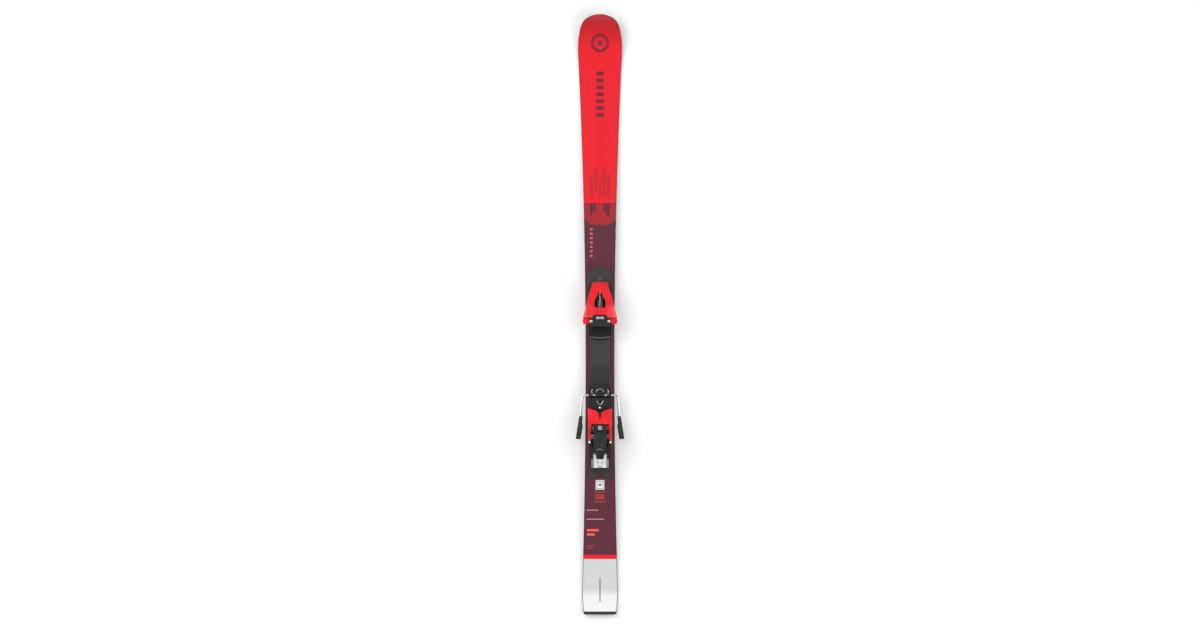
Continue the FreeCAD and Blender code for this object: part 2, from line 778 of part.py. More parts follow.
def wing_pins():
    pins = []
    for side in (-1, 1):
        foot = V(side * size("wing_pin_across"), size("wing_pin_along"), 28)
        shank = Part.makeCylinder(size("wing_pin_radius"), 61 - foot.z, foot)
        head = Part.makeCylinder(size("pin_head_radius"), 2, V(foot.x, foot.y, 61))
        crown = Part.makeCone(size("pin_head_radius"), size("pin_head_radius") - 1, 1, V(foot.x, foot.y, 63))
        pins.append(shank.fuse([head, crown]).removeSplitter())
    keep(made("pins", Part.makeCompound(pins)), "wing_pins")


def toe_wings():
    outline = [
        ("dim.wing_pin_across + 1", "dim.wing_pin_along + dim.wing_hub"),
        ("29.5", "-1.5"),
        ("37", "0.5"),
        ("40", "-14"),
        ("38.3", "-21"),
        ("32", "-21.5"),
        ("dim.wing_pin_across + 2", "dim.wing_pin_along - dim.wing_hub + 0.4"),
    ]
    rounds = [((1,), "6"), ((2,), "3"), ((4,), "2.5"), ((5,), "8")]
    arm = extruded("wing_arm", "XY_Plane", outline, "25.7", "34", rounds)
    round_rim(arm, "Z", True, "1.5")
    under_bridge = block("wing_step", "16", "-40", "54.4", "20", "60", "10")
    low_arm = combined("Cut", "wing_low", arm, [under_bridge])
    hub = cylinder(
        "wing_hub_body", "dim.wing_hub", "20.4", V(0, 0, 1), "dim.wing_pin_across",
        "dim.wing_pin_along", "34",
    )
    solid = combined("Fuse", "wing_whole", low_arm, [hub])
    hole = pin_hole("wing_pin_room", 1, "dim.running_gap")
    right = combined("Cut", "wing", solid, [hole])
    keep(right, "toe_wing_right")
    keep(mirror_of("wing_mirrored", right), "toe_wing_left")


def helix_spring(radius, wire, start, length, turns):
    """A coil along +Y from a start point."""
    path = Part.makeHelix(length / turns, length, radius)
    ring = Part.Wire(Part.makeCircle(wire, V(radius, 0, 0), V(0, 1, 0)))
    coil = Part.Wire(path.Edges).makePipeShell([ring], True, True)
    coil.Placement = FreeCAD.Placement(start, FreeCAD.Rotation(V(0, 0, 1), V(0, 1, 0)))
    return coil


def toe_works():
    rod = cylinder("rod_shaft", "dim.rod_radius", "64", V(0, 1, 0), "0", "-5", "dim.rod_level")
    cup = cylinder("rod_cup", "7.5", "3", V(0, 1, 0), "0", "51", "dim.rod_level")
    nut = cylinder("rod_nut", "4", "4", V(0, 1, 0), "0", "54", "dim.rod_level")
    cross = block("rod_cross", "0", "-9", "dim.rod_level - 3.5", "22", "5", "7")
    keep(combined("Fuse", "rod", rod, [cup, nut, cross]), "toe_rod")
    wire = size("toe_spring_wire")
    spring_start = V(0, 13 + wire + 0.1, size("rod_level"))
    coil = helix_spring(size("toe_spring_radius"), wire, spring_start, 51 - 13 - 2 * wire - 0.2, 8)
    keep(made("toe_coil", coil), "toe_spring")
    level = "dim.rod_level - 3"
    head = cylinder("adjuster_head", "5.4", "3.4", V(0, 1, 0), "0", "72.2", level)
    stem = cylinder("adjuster_stem", "2.5", "8", V(0, 1, 0), "0", "64.4", level)
    slot = block("adjuster_slot", "0", "74.2", "dim.rod_level - 12", "1.4", "3", "20")
    adjuster = combined("Fuse", "adjuster", head, [stem])
    keep(combined("Cut", "adjuster", adjuster, [slot]), "toe_adjuster_screw")


def gliding_plate():
    half = [
        ("dim.glide_half", "dim.glide_front + 0.4"),
        ("dim.glide_half", "dim.glide_rear - 2"),
        ("18", "dim.glide_rear - 7"),
        ("0", "dim.glide_rear - 9.5"),
    ]
    plan = extruded("glide_base_plan", "XY_Plane", mirrored_outline(half), "30", PLATE_TOP)
    groove_floor = PLATE_TOP + " + 2"
    side = [
        ("dim.glide_front + 0.4", PLATE_TOP),
        ("dim.glide_front + 0.4", "31.3"),
        ("-35.6", "31.3"),
        ("-35.6", groove_floor),
        ("-41.4", groove_floor),
        ("-41.4", "31.3"),
        ("dim.glide_rear - 0.5", "31.3"),
        ("dim.glide_rear - 0.5", "33.6"),
        ("dim.glide_rear - 4", "33.6"),
        ("dim.glide_rear - 10", "28"),
        ("dim.glide_rear - 10", PLATE_TOP),
    ]
    profile = extruded("glide_base_side", "YZ_Plane", side, "80", None, (), True)
    keep(combined("Common", "glide_base", plan, [profile]), "afd_base")
    glide = [
        ("dim.glide_front - 0.3", "31.6"),
        ("dim.glide_front - 0.3", "dim.glide_level"),
        ("dim.glide_rear", "dim.glide_level"),
        ("dim.glide_rear", "31.6"),
        ("-41.1", "31.6"),
        ("-41.1", "28"),
        ("-35.9", "28"),
        ("-35.9", "31.6"),
    ]
    rounds = [((1, 2), "1.2")]
    plate = extruded("glide_plate", "YZ_Plane", glide, "2 * dim.glide_half", None, rounds, True)
    keep(plate, "afd_slider")


# --- heel track and carriage -------------------------------------------------------------------


RACK_SLOTS = 11


def heel_track():
    body = doc.addObject("PartDesign::Body", "track_body")
    section_half = [
        ("dim.track_neck", PLATE_TOP),
        ("dim.track_neck", "dim.track_neck_top"),
        ("dim.track_half", "dim.track_neck_top"),
        ("dim.track_half", "dim.track_top"),
    ]
    sketch = bound_sketch(body, "XZ_Plane", mirrored_outline(section_half), "-dim.track_front")
    pad = body.newObject("PartDesign::Pad", "track_pad")
    pad.Profile = sketch
    pad.setExpression("Length", "dim.track_front - dim.track_rear")
    doc.recompute()
    slot_half = [("dim.rack_half", "dim.rack_first"), ("dim.rack_half", "dim.rack_first - dim.rack_slot")]
    slot = bound_sketch(body, "XY_Plane", mirrored_outline(slot_half), "dim.track_top")
    pocket = body.newObject("PartDesign::Pocket", "rack_slot")
    pocket.Profile = slot
    pocket.Length = 1.8
    doc.recompute()
    pattern = body.newObject("PartDesign::LinearPattern", "rack")
    pattern.Originals = [pocket]
    pattern.Direction = (sketch, ["N_Axis"])
    pattern.Mode = "Spacing"
    pattern.setExpression("Offset", "dim.rack_pitch")
    pattern.Occurrences = RACK_SLOTS
    body.Tip = pattern
    doc.recompute()
    if pattern.Shape.Volume >= pocket.Shape.Volume - NEAR:
        pattern.Reversed = True
        doc.recompute()
    arch = [("-30", "-100"), ("30", "-100"), ("30", "-126"), ("-30", "-126")]
    front = extruded("track_front_room", "XY_Plane", arch, "40", "0")
    keep_round = cylinder(
        "track_arch", "30", "60", V(0, 0, 1), "0", "dim.track_front - 30", "-10"
    )
    corner = combined("Cut", "track_corner", front, [keep_round])
    track = combined("Cut", "track", body, [corner])
    track = drilled("track", track, TRACK_SCREWS, size("track_top"), SHORT_SCREW_FOOT)
    keep(track, "heel_track")
    fasteners = screws(TRACK_SCREWS, size("track_top"), SHORT_SCREW_FOOT)
    keep(made("track_fasteners", fasteners), "track_screws")


def track_room(name):
    """The running space that a carriage leaves for the track."""
    play = "dim.carriage_play"
    half = [
        (f"dim.track_neck + {play}", "20"),
        (f"dim.track_neck + {play}", f"dim.track_neck_top - {play}"),
        (f"dim.track_half + {play}", f"dim.track_neck_top - {play}"),
        (f"dim.track_half + {play}", f"dim.track_top + {play}"),
    ]
    return extruded(name, "XZ_Plane", mirrored_outline(half), "900", None, (), True)


RIDE_LEVEL = "(dim.seat_level + dim.plate_thickness + dim.carriage_play)"


def heel_carriage():
    half = [
        ("0", "dim.brake_base_point"),
        ("dim.carriage_half", "dim.brake_base_rear - 1.2"),
        ("dim.carriage_half", "dim.carriage_rear"),
    ]
    outline = mirrored_outline(half)
    rounds = [((2, 3), "4")]
    plan = extruded("carriage_plan", "XY_Plane", outline, "30", RIDE_LEVEL, rounds)
    side = [
        ("-200", "20"),
        ("-200", "dim.carriage_front_top"),
        ("-254", "dim.carriage_front_top"),
        ("-255.7", "dim.bracket_seat"),
        ("dim.bracket_rear", "dim.bracket_seat"),
        ("dim.bracket_rear", "dim.carriage_front_top"),
        ("-340", "dim.carriage_front_top"),
        ("-340", "20"),
    ]
    profile = extruded("carriage_side", "YZ_Plane", side, "100", None, (), True)
    body = combined("Common", "carriage", plan, [profile])
    holes = []
    for sign in (-1, 1):
        across = f"{sign} * 23.1"
        holes.append(
            cylinder(f"carriage_hole_{sign}", "1.8", "20", V(0, 0, 1), across, "-291.6", "28")
        )
    pocket = block("lock_plate_room", "0", "-340", "dim.bracket_seat", "32.2", "22", "9")
    ears = [
        block(f"tab_ear_{sign}", f"{sign} * 16.3", "-324.3", "35.5", "2.2", "5.6", "4.2")
        for sign in (-1, 1)
    ]
    body = combined("Fuse", "carriage", body, ears)
    ear_holes = cylinder(
        "tab_ear_holes", "dim.tab_pin_radius + dim.running_gap", "50", V(1, 0, 0), "-25",
        "dim.tab_hinge", "dim.tab_hinge_level",
    )
    tools = [track_room("carriage_room"), pocket, ear_holes] + holes
    keep(combined("Cut", "carriage", body, tools), "heel_carriage")
    screw_solids = []
    for sign in (-1, 1):
        screw_solids.append(domed_screw(sign * 23.1, -291.6, size("bracket_seat"), 1.8, 6.3))
    keep(made("carriage_fasteners", Part.makeCompound(screw_solids)), "carriage_screws")


def domed_screw(across, along, level, shank, depth):
    """A domed chrome screw whose head stands on a level face."""
    head_radius = 3.5
    stem = Part.makeCylinder(shank, depth, V(across, along, level - depth))
    head = Part.makeCylinder(head_radius, 1, V(across, along, level))
    ball = Part.makeSphere(head_radius * 1.25, V(across, along, level - head_radius * 0.45))
    dome = Part.makeCylinder(head_radius, 5, V(across, along, level)).common(ball)
    slot = Part.makeBox(head_radius * 1.1, 0.9, 2, V(across - head_radius * 0.55, along - 0.45, level + 1.8))
    return stem.fuse([head, dome]).cut(slot).removeSplitter()


def heel_bracket():
    side = [
        ("-256", "dim.bracket_seat"),
        ("-256", "dim.bracket_top"),
        ("-264", "dim.bracket_top"),
        ("-271", "dim.pivot_level + 3"),
        ("-275", "dim.pivot_level + 8"),
        ("-287", "dim.pivot_level + 8"),
        ("-291", "dim.pivot_level + 3"),
        ("-298", "dim.bracket_top"),
        ("dim.bracket_rear", "dim.bracket_top"),
        ("dim.bracket_rear", "dim.bracket_seat"),
    ]
    rounds = [((4, 5), "4"), ((2, 7), "4")]
    body = extruded("bracket_body", "YZ_Plane", side, "2 * dim.cheek_outer", None, rounds, True)
    inner = block(
        "bracket_inner", "0", "-330", "dim.bracket_top", "2 * dim.cheek_inner", "90", "60"
    )
    bore = cylinder(
        "bracket_bore", "dim.axle_radius", "80", V(1, 0, 0), "-40", "dim.pivot_along",
        "dim.pivot_level",
    )
    keep(combined("Cut", "bracket", body, [inner, bore]), "heel_bracket")
    axle = cylinder(
        "axle", "dim.axle_radius", "2 * dim.cup_half", V(1, 0, 0), "-dim.cup_half", "dim.pivot_along",
        "dim.pivot_level",
    )
    keep(axle, "heel_axle")


def lock_plate():
    """The steel plate behind the carriage, with the opening for the tab's tooth."""
    plan_half = [
        ("16", "-318.1"),
        ("16", "dim.carriage_rear - 0.1"),
        ("20", "dim.carriage_rear - 0.1"),
        ("20", "-351"),
    ]
    thickness = "dim.bracket_top - dim.bracket_seat"
    rounds = [((3, 4), "2.5")]
    plate = extruded(
        "lock_plate_body", "XY_Plane", mirrored_outline(plan_half), thickness, "dim.bracket_seat", rounds
    )
    slot = block("lock_plate_slot", "0", "-350", "20", "10", "6.6", "30")
    keep(combined("Cut", "lock_plate", plate, [slot]), "lock_plate")


def lock_tab():
    plan_half = [
        ("8.5", "-331.5"),
        ("10.5", "dim.tab_hinge"),
        ("14.3", "dim.tab_hinge"),
        ("14.3", "-350.5"),
    ]
    plan = extruded("tab_plan", "XY_Plane", mirrored_outline(plan_half), "40", "20")
    side = [
        ("-310", "dim.bracket_top + 0.3"),
        ("-310", "dim.bracket_top + 2.3"),
        ("-346", "dim.bracket_top + 2.3"),
        ("-360", "dim.bracket_top + 5.2"),
        ("-360", "dim.bracket_top + 3.2"),
        ("-346", "dim.bracket_top + 0.3"),
    ]
    profile = extruded("tab_side", "YZ_Plane", side, "60", None, (), True)
    tab = combined("Common", "tab", plan, [profile])
    tooth_foot = "dim.track_top + dim.carriage_play"
    tooth = block("tab_tooth", "0", "-346.5", tooth_foot, "8.6", "2.5", "37 - " + tooth_foot)
    pins = [
        cylinder(
            f"tab_pin_{sign}", "dim.tab_pin_radius", "6", V(1, 0, 0), f"{sign} * 14 - 3",
            "dim.tab_hinge", "dim.tab_hinge_level",
        )
        for sign in (-1, 1)
    ]
    tab = combined("Fuse", "tab", tab, [tooth] + pins)
    slots = [
        block(f"tab_slot_{sign}", f"{sign} * 4.5", "-341", "36", "2", "7", "3")
        for sign in (-1, 1)
    ]
    keep(combined("Cut", "tab_slots", tab, slots), "heel_lock_tab")


# --- brake -------------------------------------------------------------------------------------


def brake_base():
    half = [
        ("17", "dim.pedal_front - 3"),
        ("26", "-176"),
        ("26.5", "dim.brake_base_rear"),
        ("0", "dim.brake_base_point + 0.4"),
    ]
    outline = mirrored_outline(half)
    plan = extruded("brake_base_plan", "XY_Plane", outline, "30", RIDE_LEVEL)
    side = [
        ("-150", "20"),
        ("-150", "31"),
        ("-170", "31"),
        ("-174", "dim.brake_base_top"),
        ("-225", "dim.brake_base_top"),
        ("-225", "20"),
    ]
    rounds = [((3,), "3")]
    profile = extruded("brake_base_side", "YZ_Plane", side, "100", None, rounds, True)
    body = combined("Common", "brake_base", plan, [profile])
    pedal_room = block(
        "pedal_room", "0", "-190.4", "dim.track_top + 0.3", "2 * dim.pedal_half + 0.8", "40",
        "20",
    )
    wire_room = cylinder(
        "wire_room", "dim.brake_wire_radius + dim.running_gap", "80", V(1, 0, 0), "-40",
        "dim.brake_along", "dim.brake_level",
    )
    screw_hole = cylinder(
        "brake_screw_room", "1.8", "12", V(0, 0, 1), "0", "-213", "dim.brake_base_top - 8"
    )
    screw_level = "dim.brake_base_top - dim.brake_screw_sunk"
    head_room = cylinder("brake_screw_mouth", "3.9", "12", V(0, 0, 1), "0", "-213", screw_level)
    tools = [pedal_room, wire_room, screw_hole, head_room, track_room("brake_base_room")]
    keep(combined("Cut", "brake_base", body, tools), "brake_base")
    level = size("brake_base_top") - size("brake_screw_sunk")
    keep(made("brake_fastener", domed_screw(0, -213, level, 1.8, 5)), "brake_screw")


def ribbed_sleeve(across, along, level):
    """A close-wound spring along +X, drawn as a sleeve with one rounded rib for each turn."""
    inner = size("brake_wire_radius") + 0.3
    foot = inner + 0.4
    wire = 1.2
    turns = 4
    start = V(across, along, level + foot)
    points = [start + V(wire * turn, 0, 0) for turn in range(turns + 1)]
    ribs = [
        Part.Arc(first, (first + last) / 2 + V(0, 0, wire / 2), last).toShape()
        for first, last in zip(points, points[1:])
    ]
    low_start = V(start.x, along, level + inner)
    low_end = V(points[-1].x, along, level + inner)
    closing = [
        Part.makeLine(points[-1], low_end),
        Part.makeLine(low_end, low_start),
        Part.makeLine(low_start, start),
    ]
    profile = Part.Face(Part.Wire(ribs + closing))
    return profile.revolve(V(across, along, level), V(1, 0, 0), 360)


def brake_pedal():
    side = [
        ("dim.pedal_front", "37.5"),
        ("dim.pedal_front", "dim.pedal_top - 1"),
        ("dim.pedal_front - 2", "dim.pedal_top"),
        ("dim.brake_along - 5.5", "dim.pedal_top"),
        ("dim.brake_along - 5.5", "dim.brake_level - 1"),
        ("dim.brake_along - 2.5", "dim.brake_level - 4.6"),
        ("dim.brake_along + 2.5", "dim.brake_level - 4.6"),
        ("dim.brake_along + 8", "36.5"),
    ]
    rounds = [((3,), "4.5")]
    body = extruded("pedal_side", "YZ_Plane", side, "2 * dim.pedal_half", None, rounds, True)
    plan_half = [
        ("17.5", "dim.pedal_front"),
        ("dim.pedal_half", "dim.pedal_front - 8"),
        ("dim.pedal_half", "dim.brake_along - 5.5"),
    ]
    plan = extruded(
        "pedal_plan", "XY_Plane", mirrored_outline(plan_half), "40", "20", [((0, 5), "4")]
    )
    pedal = combined("Common", "pedal", body, [plan])
    tools = []
    for sign, word in ((-1, "left"), (1, "right")):
        start = f"{min(sign * 7, sign * 30)}"
        tools.append(
            cylinder(
                "pedal_wire_" + word, "dim.brake_wire_radius", "23", V(1, 0, 0), start,
                "dim.brake_along", "dim.brake_level",
            )
        )
        tools.append(
            block(
                "pedal_coil_" + word, f"{sign} * 13.5", "dim.brake_along - 6", "20", "7", "12",
                "19.4",
            )
        )
        tools.append(
            block(
                "pedal_window_" + word, f"{sign} * 13.5", "dim.brake_along - 3.5", "39", "6.6", "7",
                "5",
            )
        )
    keep(combined("Cut", "pedal", pedal, tools), "brake_pedal")
    sleeve = ribbed_sleeve(11, size("brake_along"), size("brake_level"))
    pair = [sleeve, sleeve.mirror(V(), V(1, 0, 0))]
    keep(made("brake_coils", Part.makeCompound(pair)), "brake_springs")


WIRE_INNER_END = 7
WIRE_OUTER_END = V(46, -262, 0)


def brake_wire():
    """One bent wire: across the base, round a bend and back along the ski."""
    level = size("brake_level")
    corner = V(size("brake_corner"), size("brake_along"), level)
    start = V(WIRE_INNER_END, size("brake_along"), level)
    end = V(WIRE_OUTER_END.x, WIRE_OUTER_END.y, level)
    inward = (start - corner).normalize()
    outward = (end - corner).normalize()
    half_turn = inward.getAngle(outward) / 2
    setback = size("brake_bend") / math.tan(half_turn)
    first = corner + inward * setback
    last = corner + outward * setback
    bisector = (inward + outward).normalize()
    centre = corner + bisector * (size("brake_bend") / math.sin(half_turn))
    middle = centre - bisector * size("brake_bend")
    path = Part.Wire(
        [
            Part.makeLine(start, first),
            Part.Arc(first, middle, last).toShape(),
            Part.makeLine(last, end),
        ]
    )
    ring = Part.Wire(Part.makeCircle(size("brake_wire_radius"), start, V(1, 0, 0)))
    return path.makePipeShell([ring], True, True)


def brake_arms():
    wire = made("wire_right", brake_wire())
    outline = [
        ("39.6", "-232"),
        ("47.8", "-232"),
        ("56", "-284.4"),
        ("44.2", "-285.4"),
        ("39.4", "-254"),
        ("41", "-249"),
    ]
    rounds = [((2, 3), "1.5")]
    body = extruded("tip_body", "XY_Plane", outline, "9.4", "dim.brake_level - 4.7", rounds)
    round_rim(body, "Z", True, "1.2")
    round_rim(body, "Z", False, "1.2")
    tip = combined("Cut", "tip", body, [wire])
    keep(wire, "brake_wire_right")
    keep(mirror_of("wire_left", wire), "brake_wire_left")
    keep(tip, "brake_tip_right")
    keep(mirror_of("tip_left", tip), "brake_tip_left")


# --- heel piece --------------------------------------------------------------------------------


def axle_hole(name):
    return cylinder(
        name, "dim.axle_radius + dim.running_gap", "80", V(1, 0, 0), "-40", "dim.pivot_along",
        "dim.pivot_level",
    )


def heel_cup():
    lip = "dim.cup_lip_level"
    side = [
        ("dim.cup_front", lip),
        ("dim.cup_front", f"{lip} + 3.5"),
        ("-238", f"{lip} + 12.5"),
        ("-253", f"{lip} + 13"),
        ("-271", "dim.pivot_level + 12"),
        ("dim.pivot_along - 6.5", "dim.pivot_level + 6"),
        ("dim.pivot_along - 6.5", "dim.pivot_level - 6"),
        ("-266", "42.5"),
        ("dim.cup_back - 3", "37.2"),
        ("-229", "37.2"),
        ("-228", "40"),
        ("-243", "41.5"),
        ("-246.5", "45"),
        ("-246.5", f"{lip} - 3"),
        ("-243", lip),
    ]
    rounds = [((2, 3), "6"), ((5, 6), "5"), ((12, 13), "2.5")]
    body = extruded("cup_side", "YZ_Plane", side, "2 * dim.cup_half", None, rounds, True)
    behind = block(
        "cup_behind", "0", "-320", "0", "2 * dim.arm_inner", "320 + dim.cup_back", "120"
    )
    notch_outline = [
        ("0", "dim.cup_notch"),
        ("dim.cup_half + 1", "dim.cup_front - 0.3"),
        ("dim.cup_half + 1", "dim.cup_front + 20"),
        ("-(dim.cup_half + 1)", "dim.cup_front + 20"),
        ("-(dim.cup_half + 1)", "dim.cup_front - 0.3"),
    ]
    notch = extruded("cup_notch_room", "XY_Plane", notch_outline, "60", "60")
    groove = block("cup_groove", "0", "-241", f"{lip} + 5", "2.4", "25", "20")
    spur_sides = [
        block(f"cup_spur_{sign}", f"{sign} * 26", "-246.4", "30", "12", "40", "34")
        for sign in (-1, 1)
    ]
    tools = [behind, notch, groove, axle_hole("cup_bore")] + spur_sides
    keep(combined("Cut", "cup", body, tools), "heel_cup")


def heel_housing():
    side = [
        ("dim.cup_back - 0.3", "42"),
        ("dim.cup_back - 0.3", "79"),
        ("-257", "83"),
        ("-266", "83"),
        ("dim.housing_rear", "72"),
        ("dim.housing_rear", "58"),
        ("-300", "48.5"),
        ("-290", "42"),
    ]
    rounds = [((1, 2), "3"), ((3,), "12"), ((4, 5), "2")]
    body = extruded("housing_side", "YZ_Plane", side, "2 * dim.housing_half", None, rounds, True)
    plan_half = [
        ("dim.housing_half", "-240"),
        ("dim.housing_half", "-296"),
        ("11", "-320"),
    ]
    plan = extruded(
        "housing_plan", "XY_Plane", mirrored_outline(plan_half), "90", "20", [((1, 4), "8")]
    )
    shell = combined("Common", "housing", body, [plan])
    boss_side = [
        ("dim.lever_pin_along + 6", "76"),
        ("dim.lever_pin_along + 4.5", "dim.lever_pin_level + 4.5"),
        ("dim.lever_pin_along - 4.5", "dim.lever_pin_level + 4.5"),
        ("dim.lever_pin_along - 6", "76"),
    ]
    boss = extruded("lever_boss", "YZ_Plane", boss_side, "17", None, [((1, 2), "4")], True)
    solid = combined("Fuse", "housing_boss", shell, [boss])
    bore = cylinder(
        "heel_bore", "dim.heel_bore_radius", "47.5", V(0, 1, 0), "0", "-302",
        "dim.heel_bore_level",
    )
    rear_bore = cylinder(
        "heel_rear_bore", "5", "20", V(0, 1, 0), "0", "-320", "dim.heel_bore_level"
    )
    lens_room = block("lens_room", "0", "-262.2", "79.5", "9.6", "9", "20")
    pin_room = cylinder(
        "lever_pin_room", "dim.lever_pin_radius", "40", V(1, 0, 0), "-20", "dim.lever_pin_along",
        "dim.lever_pin_level",
    )
    tools = [bore, rear_bore, lens_room, pin_room, axle_hole("housing_bore")]
    keep(combined("Cut", "housing_hollow", solid, tools), "heel_housing")
    keep(
        cylinder(
            "lever_pin_body", "dim.lever_pin_radius", "27", V(1, 0, 0), "-13.5",
            "dim.lever_pin_along", "dim.lever_pin_level",
        ),
        "lever_pin",
    )
    keep(
        block("heel_lens", "0", "-262", "81.4", "9.2", "8.6", "1.2"),
        "heel_window_lens",
    )
    keep(
        block("heel_pointer", "0", "-258.6", "79.8", "5", "1.8", "1.2"),
        "heel_indicator",
    )


def heel_works():
    level = "dim.heel_bore_level"
    disc = cylinder("plunger_disc", "7.3", "4", V(0, 1, 0), "0", "-263", level)
    nose = cylinder("plunger_nose", "4", "4", V(0, 1, 0), "0", "-259", level)
    keep(combined("Fuse", "plunger", disc, [nose]), "heel_plunger")
    wire = size("heel_spring_wire")
    start = V(0, -301.8 + wire, size("heel_bore_level"))
    coil = helix_spring(size("heel_spring_radius"), wire, start, 38.6 - 2 * wire, 7)
    keep(made("heel_coil", coil), "heel_spring")
    head = cylinder("heel_adjuster_head", "4.7", "10.2", V(0, 1, 0), "0", "-312.4", level)
    slot = block("heel_adjuster_slot", "0", "-314", "50", "1.4", "3.2", "30")
    keep(combined("Cut", "heel_adjuster", head, [slot]), "heel_adjuster_screw")


def heel_lever():
    half = [
        ("8.5", "-264.5"),
        ("15", "-279"),
        ("15", "-289"),
        ("10", "-304"),
    ]
    rounds = [((0, 7), "2"), ((3, 4), "2")]
    plan = extruded("lever_plan", "XY_Plane", mirrored_outline(half), "60", "60", rounds)
    side = [
        ("-264.5", "84.5"),
        ("-264.5", "90"),
        ("-279", "95"),
        ("-304", "98"),
        ("-304", "93"),
        ("-284", "86.5"),
        ("-279", "82.5"),
        ("-271", "82.5"),
    ]
    side_rounds = [((1, 2), "4"), ((3, 4), "1.5"), ((6, 7), "2.5")]
    profile = extruded("lever_side", "YZ_Plane", side, "60", None, side_rounds, True)
    lever = combined("Common", "lever", plan, [profile])
    boss_room = block("lever_boss_room", "0", "-282.3", "60", "18", "30", "30.8")
    pin_room = cylinder(
        "lever_pin_play", "dim.lever_pin_radius + dim.running_gap", "60", V(1, 0, 0), "-30",
        "dim.lever_pin_along", "dim.lever_pin_level",
    )
    dimple = doc.addObject("Part::Sphere", "pole_dimple")
    dimple.Radius = 9
    dimple.setExpression("Placement.Base.y", "-295")
    dimple.setExpression("Placement.Base.z", "104")
    doc.recompute()
    keep(combined("Cut", "lever", lever, [boss_room, pin_room, dimple]), "heel_lever")


# --- checks and files --------------------------------------------------------------------------


def check_document():
    """Stop on any failed object and on any sub-part without a sound shape."""
    bad = [item.Name for item in doc.Objects if {"Invalid", "Error"} & set(item.State)]
    if bad:
        raise SystemExit("failed objects: " + ", ".join(bad))
    for item in subparts:
        shape = item.Shape
        if shape.isNull() or not shape.isValid() or not shape.Solids:
            raise SystemExit("unsound sub-part: " + item.Label)


def write_parts():
    os.makedirs("parts", exist_ok=True)
    for item in subparts:
        item.Shape.exportStep(f"parts/{item.Label}.step")


build_ski()
build_plate()
toe_base()
toe_housing()
toe_bridge()
wing_pins()
toe_wings()
toe_works()
gliding_plate()
heel_track()
heel_carriage()
heel_bracket()
lock_plate()
lock_tab()
brake_base()
brake_pedal()
brake_arms()
heel_cup()
heel_housing()
heel_works()
heel_lever()
doc.recompute()
check_document()
write_parts()
for item in subparts:
    print(f"{item.Label:24s} {len(item.Shape.Solids):3d} solids {item.Shape.Volume:12.1f} mm3")
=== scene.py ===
import json
import math

import bmesh
import bpy
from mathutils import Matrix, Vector
from mathutils.bvhtree import BVHTree


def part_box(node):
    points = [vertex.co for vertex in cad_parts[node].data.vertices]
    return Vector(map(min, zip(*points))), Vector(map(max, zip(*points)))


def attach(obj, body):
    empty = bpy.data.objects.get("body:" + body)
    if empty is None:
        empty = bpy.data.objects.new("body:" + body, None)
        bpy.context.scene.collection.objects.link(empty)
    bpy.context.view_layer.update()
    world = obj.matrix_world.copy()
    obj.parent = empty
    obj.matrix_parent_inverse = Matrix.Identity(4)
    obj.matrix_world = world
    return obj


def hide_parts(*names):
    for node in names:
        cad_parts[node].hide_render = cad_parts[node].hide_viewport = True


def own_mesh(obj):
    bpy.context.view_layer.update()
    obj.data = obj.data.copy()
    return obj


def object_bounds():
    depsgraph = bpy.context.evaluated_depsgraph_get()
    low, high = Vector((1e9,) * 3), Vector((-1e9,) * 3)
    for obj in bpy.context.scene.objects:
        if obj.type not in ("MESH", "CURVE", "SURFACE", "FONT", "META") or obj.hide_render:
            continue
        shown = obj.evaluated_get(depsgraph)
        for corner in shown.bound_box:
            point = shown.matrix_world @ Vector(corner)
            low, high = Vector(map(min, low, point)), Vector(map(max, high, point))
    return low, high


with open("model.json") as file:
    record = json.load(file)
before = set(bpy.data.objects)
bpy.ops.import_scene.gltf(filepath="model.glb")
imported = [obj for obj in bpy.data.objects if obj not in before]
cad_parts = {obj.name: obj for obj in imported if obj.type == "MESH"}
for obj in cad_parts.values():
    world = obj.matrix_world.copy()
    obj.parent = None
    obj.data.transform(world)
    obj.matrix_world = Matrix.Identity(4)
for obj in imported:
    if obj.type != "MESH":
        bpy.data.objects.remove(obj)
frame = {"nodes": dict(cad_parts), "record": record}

CAD_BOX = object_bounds()
NODES = frame["nodes"]
RECORD = frame["record"]
SLOT_OF = {row["node"]: row["material_slot"] for row in RECORD["subparts"]}
MM = 0.001
RIM_GAP = 0.02 * MM    # CAD faces share no vertices, so rims closer than this are joined


# --- node helpers -------------------------------------------------------------------------------


def srgb(red, green, blue):
    """A colour given as 0..255 display values, as linear values."""
    values = []
    for value in (red, green, blue):
        share = value / 255
        values.append(share / 12.92 if share <= 0.04045 else ((share + 0.055) / 1.055) ** 2.4)
    return (*values, 1.0)


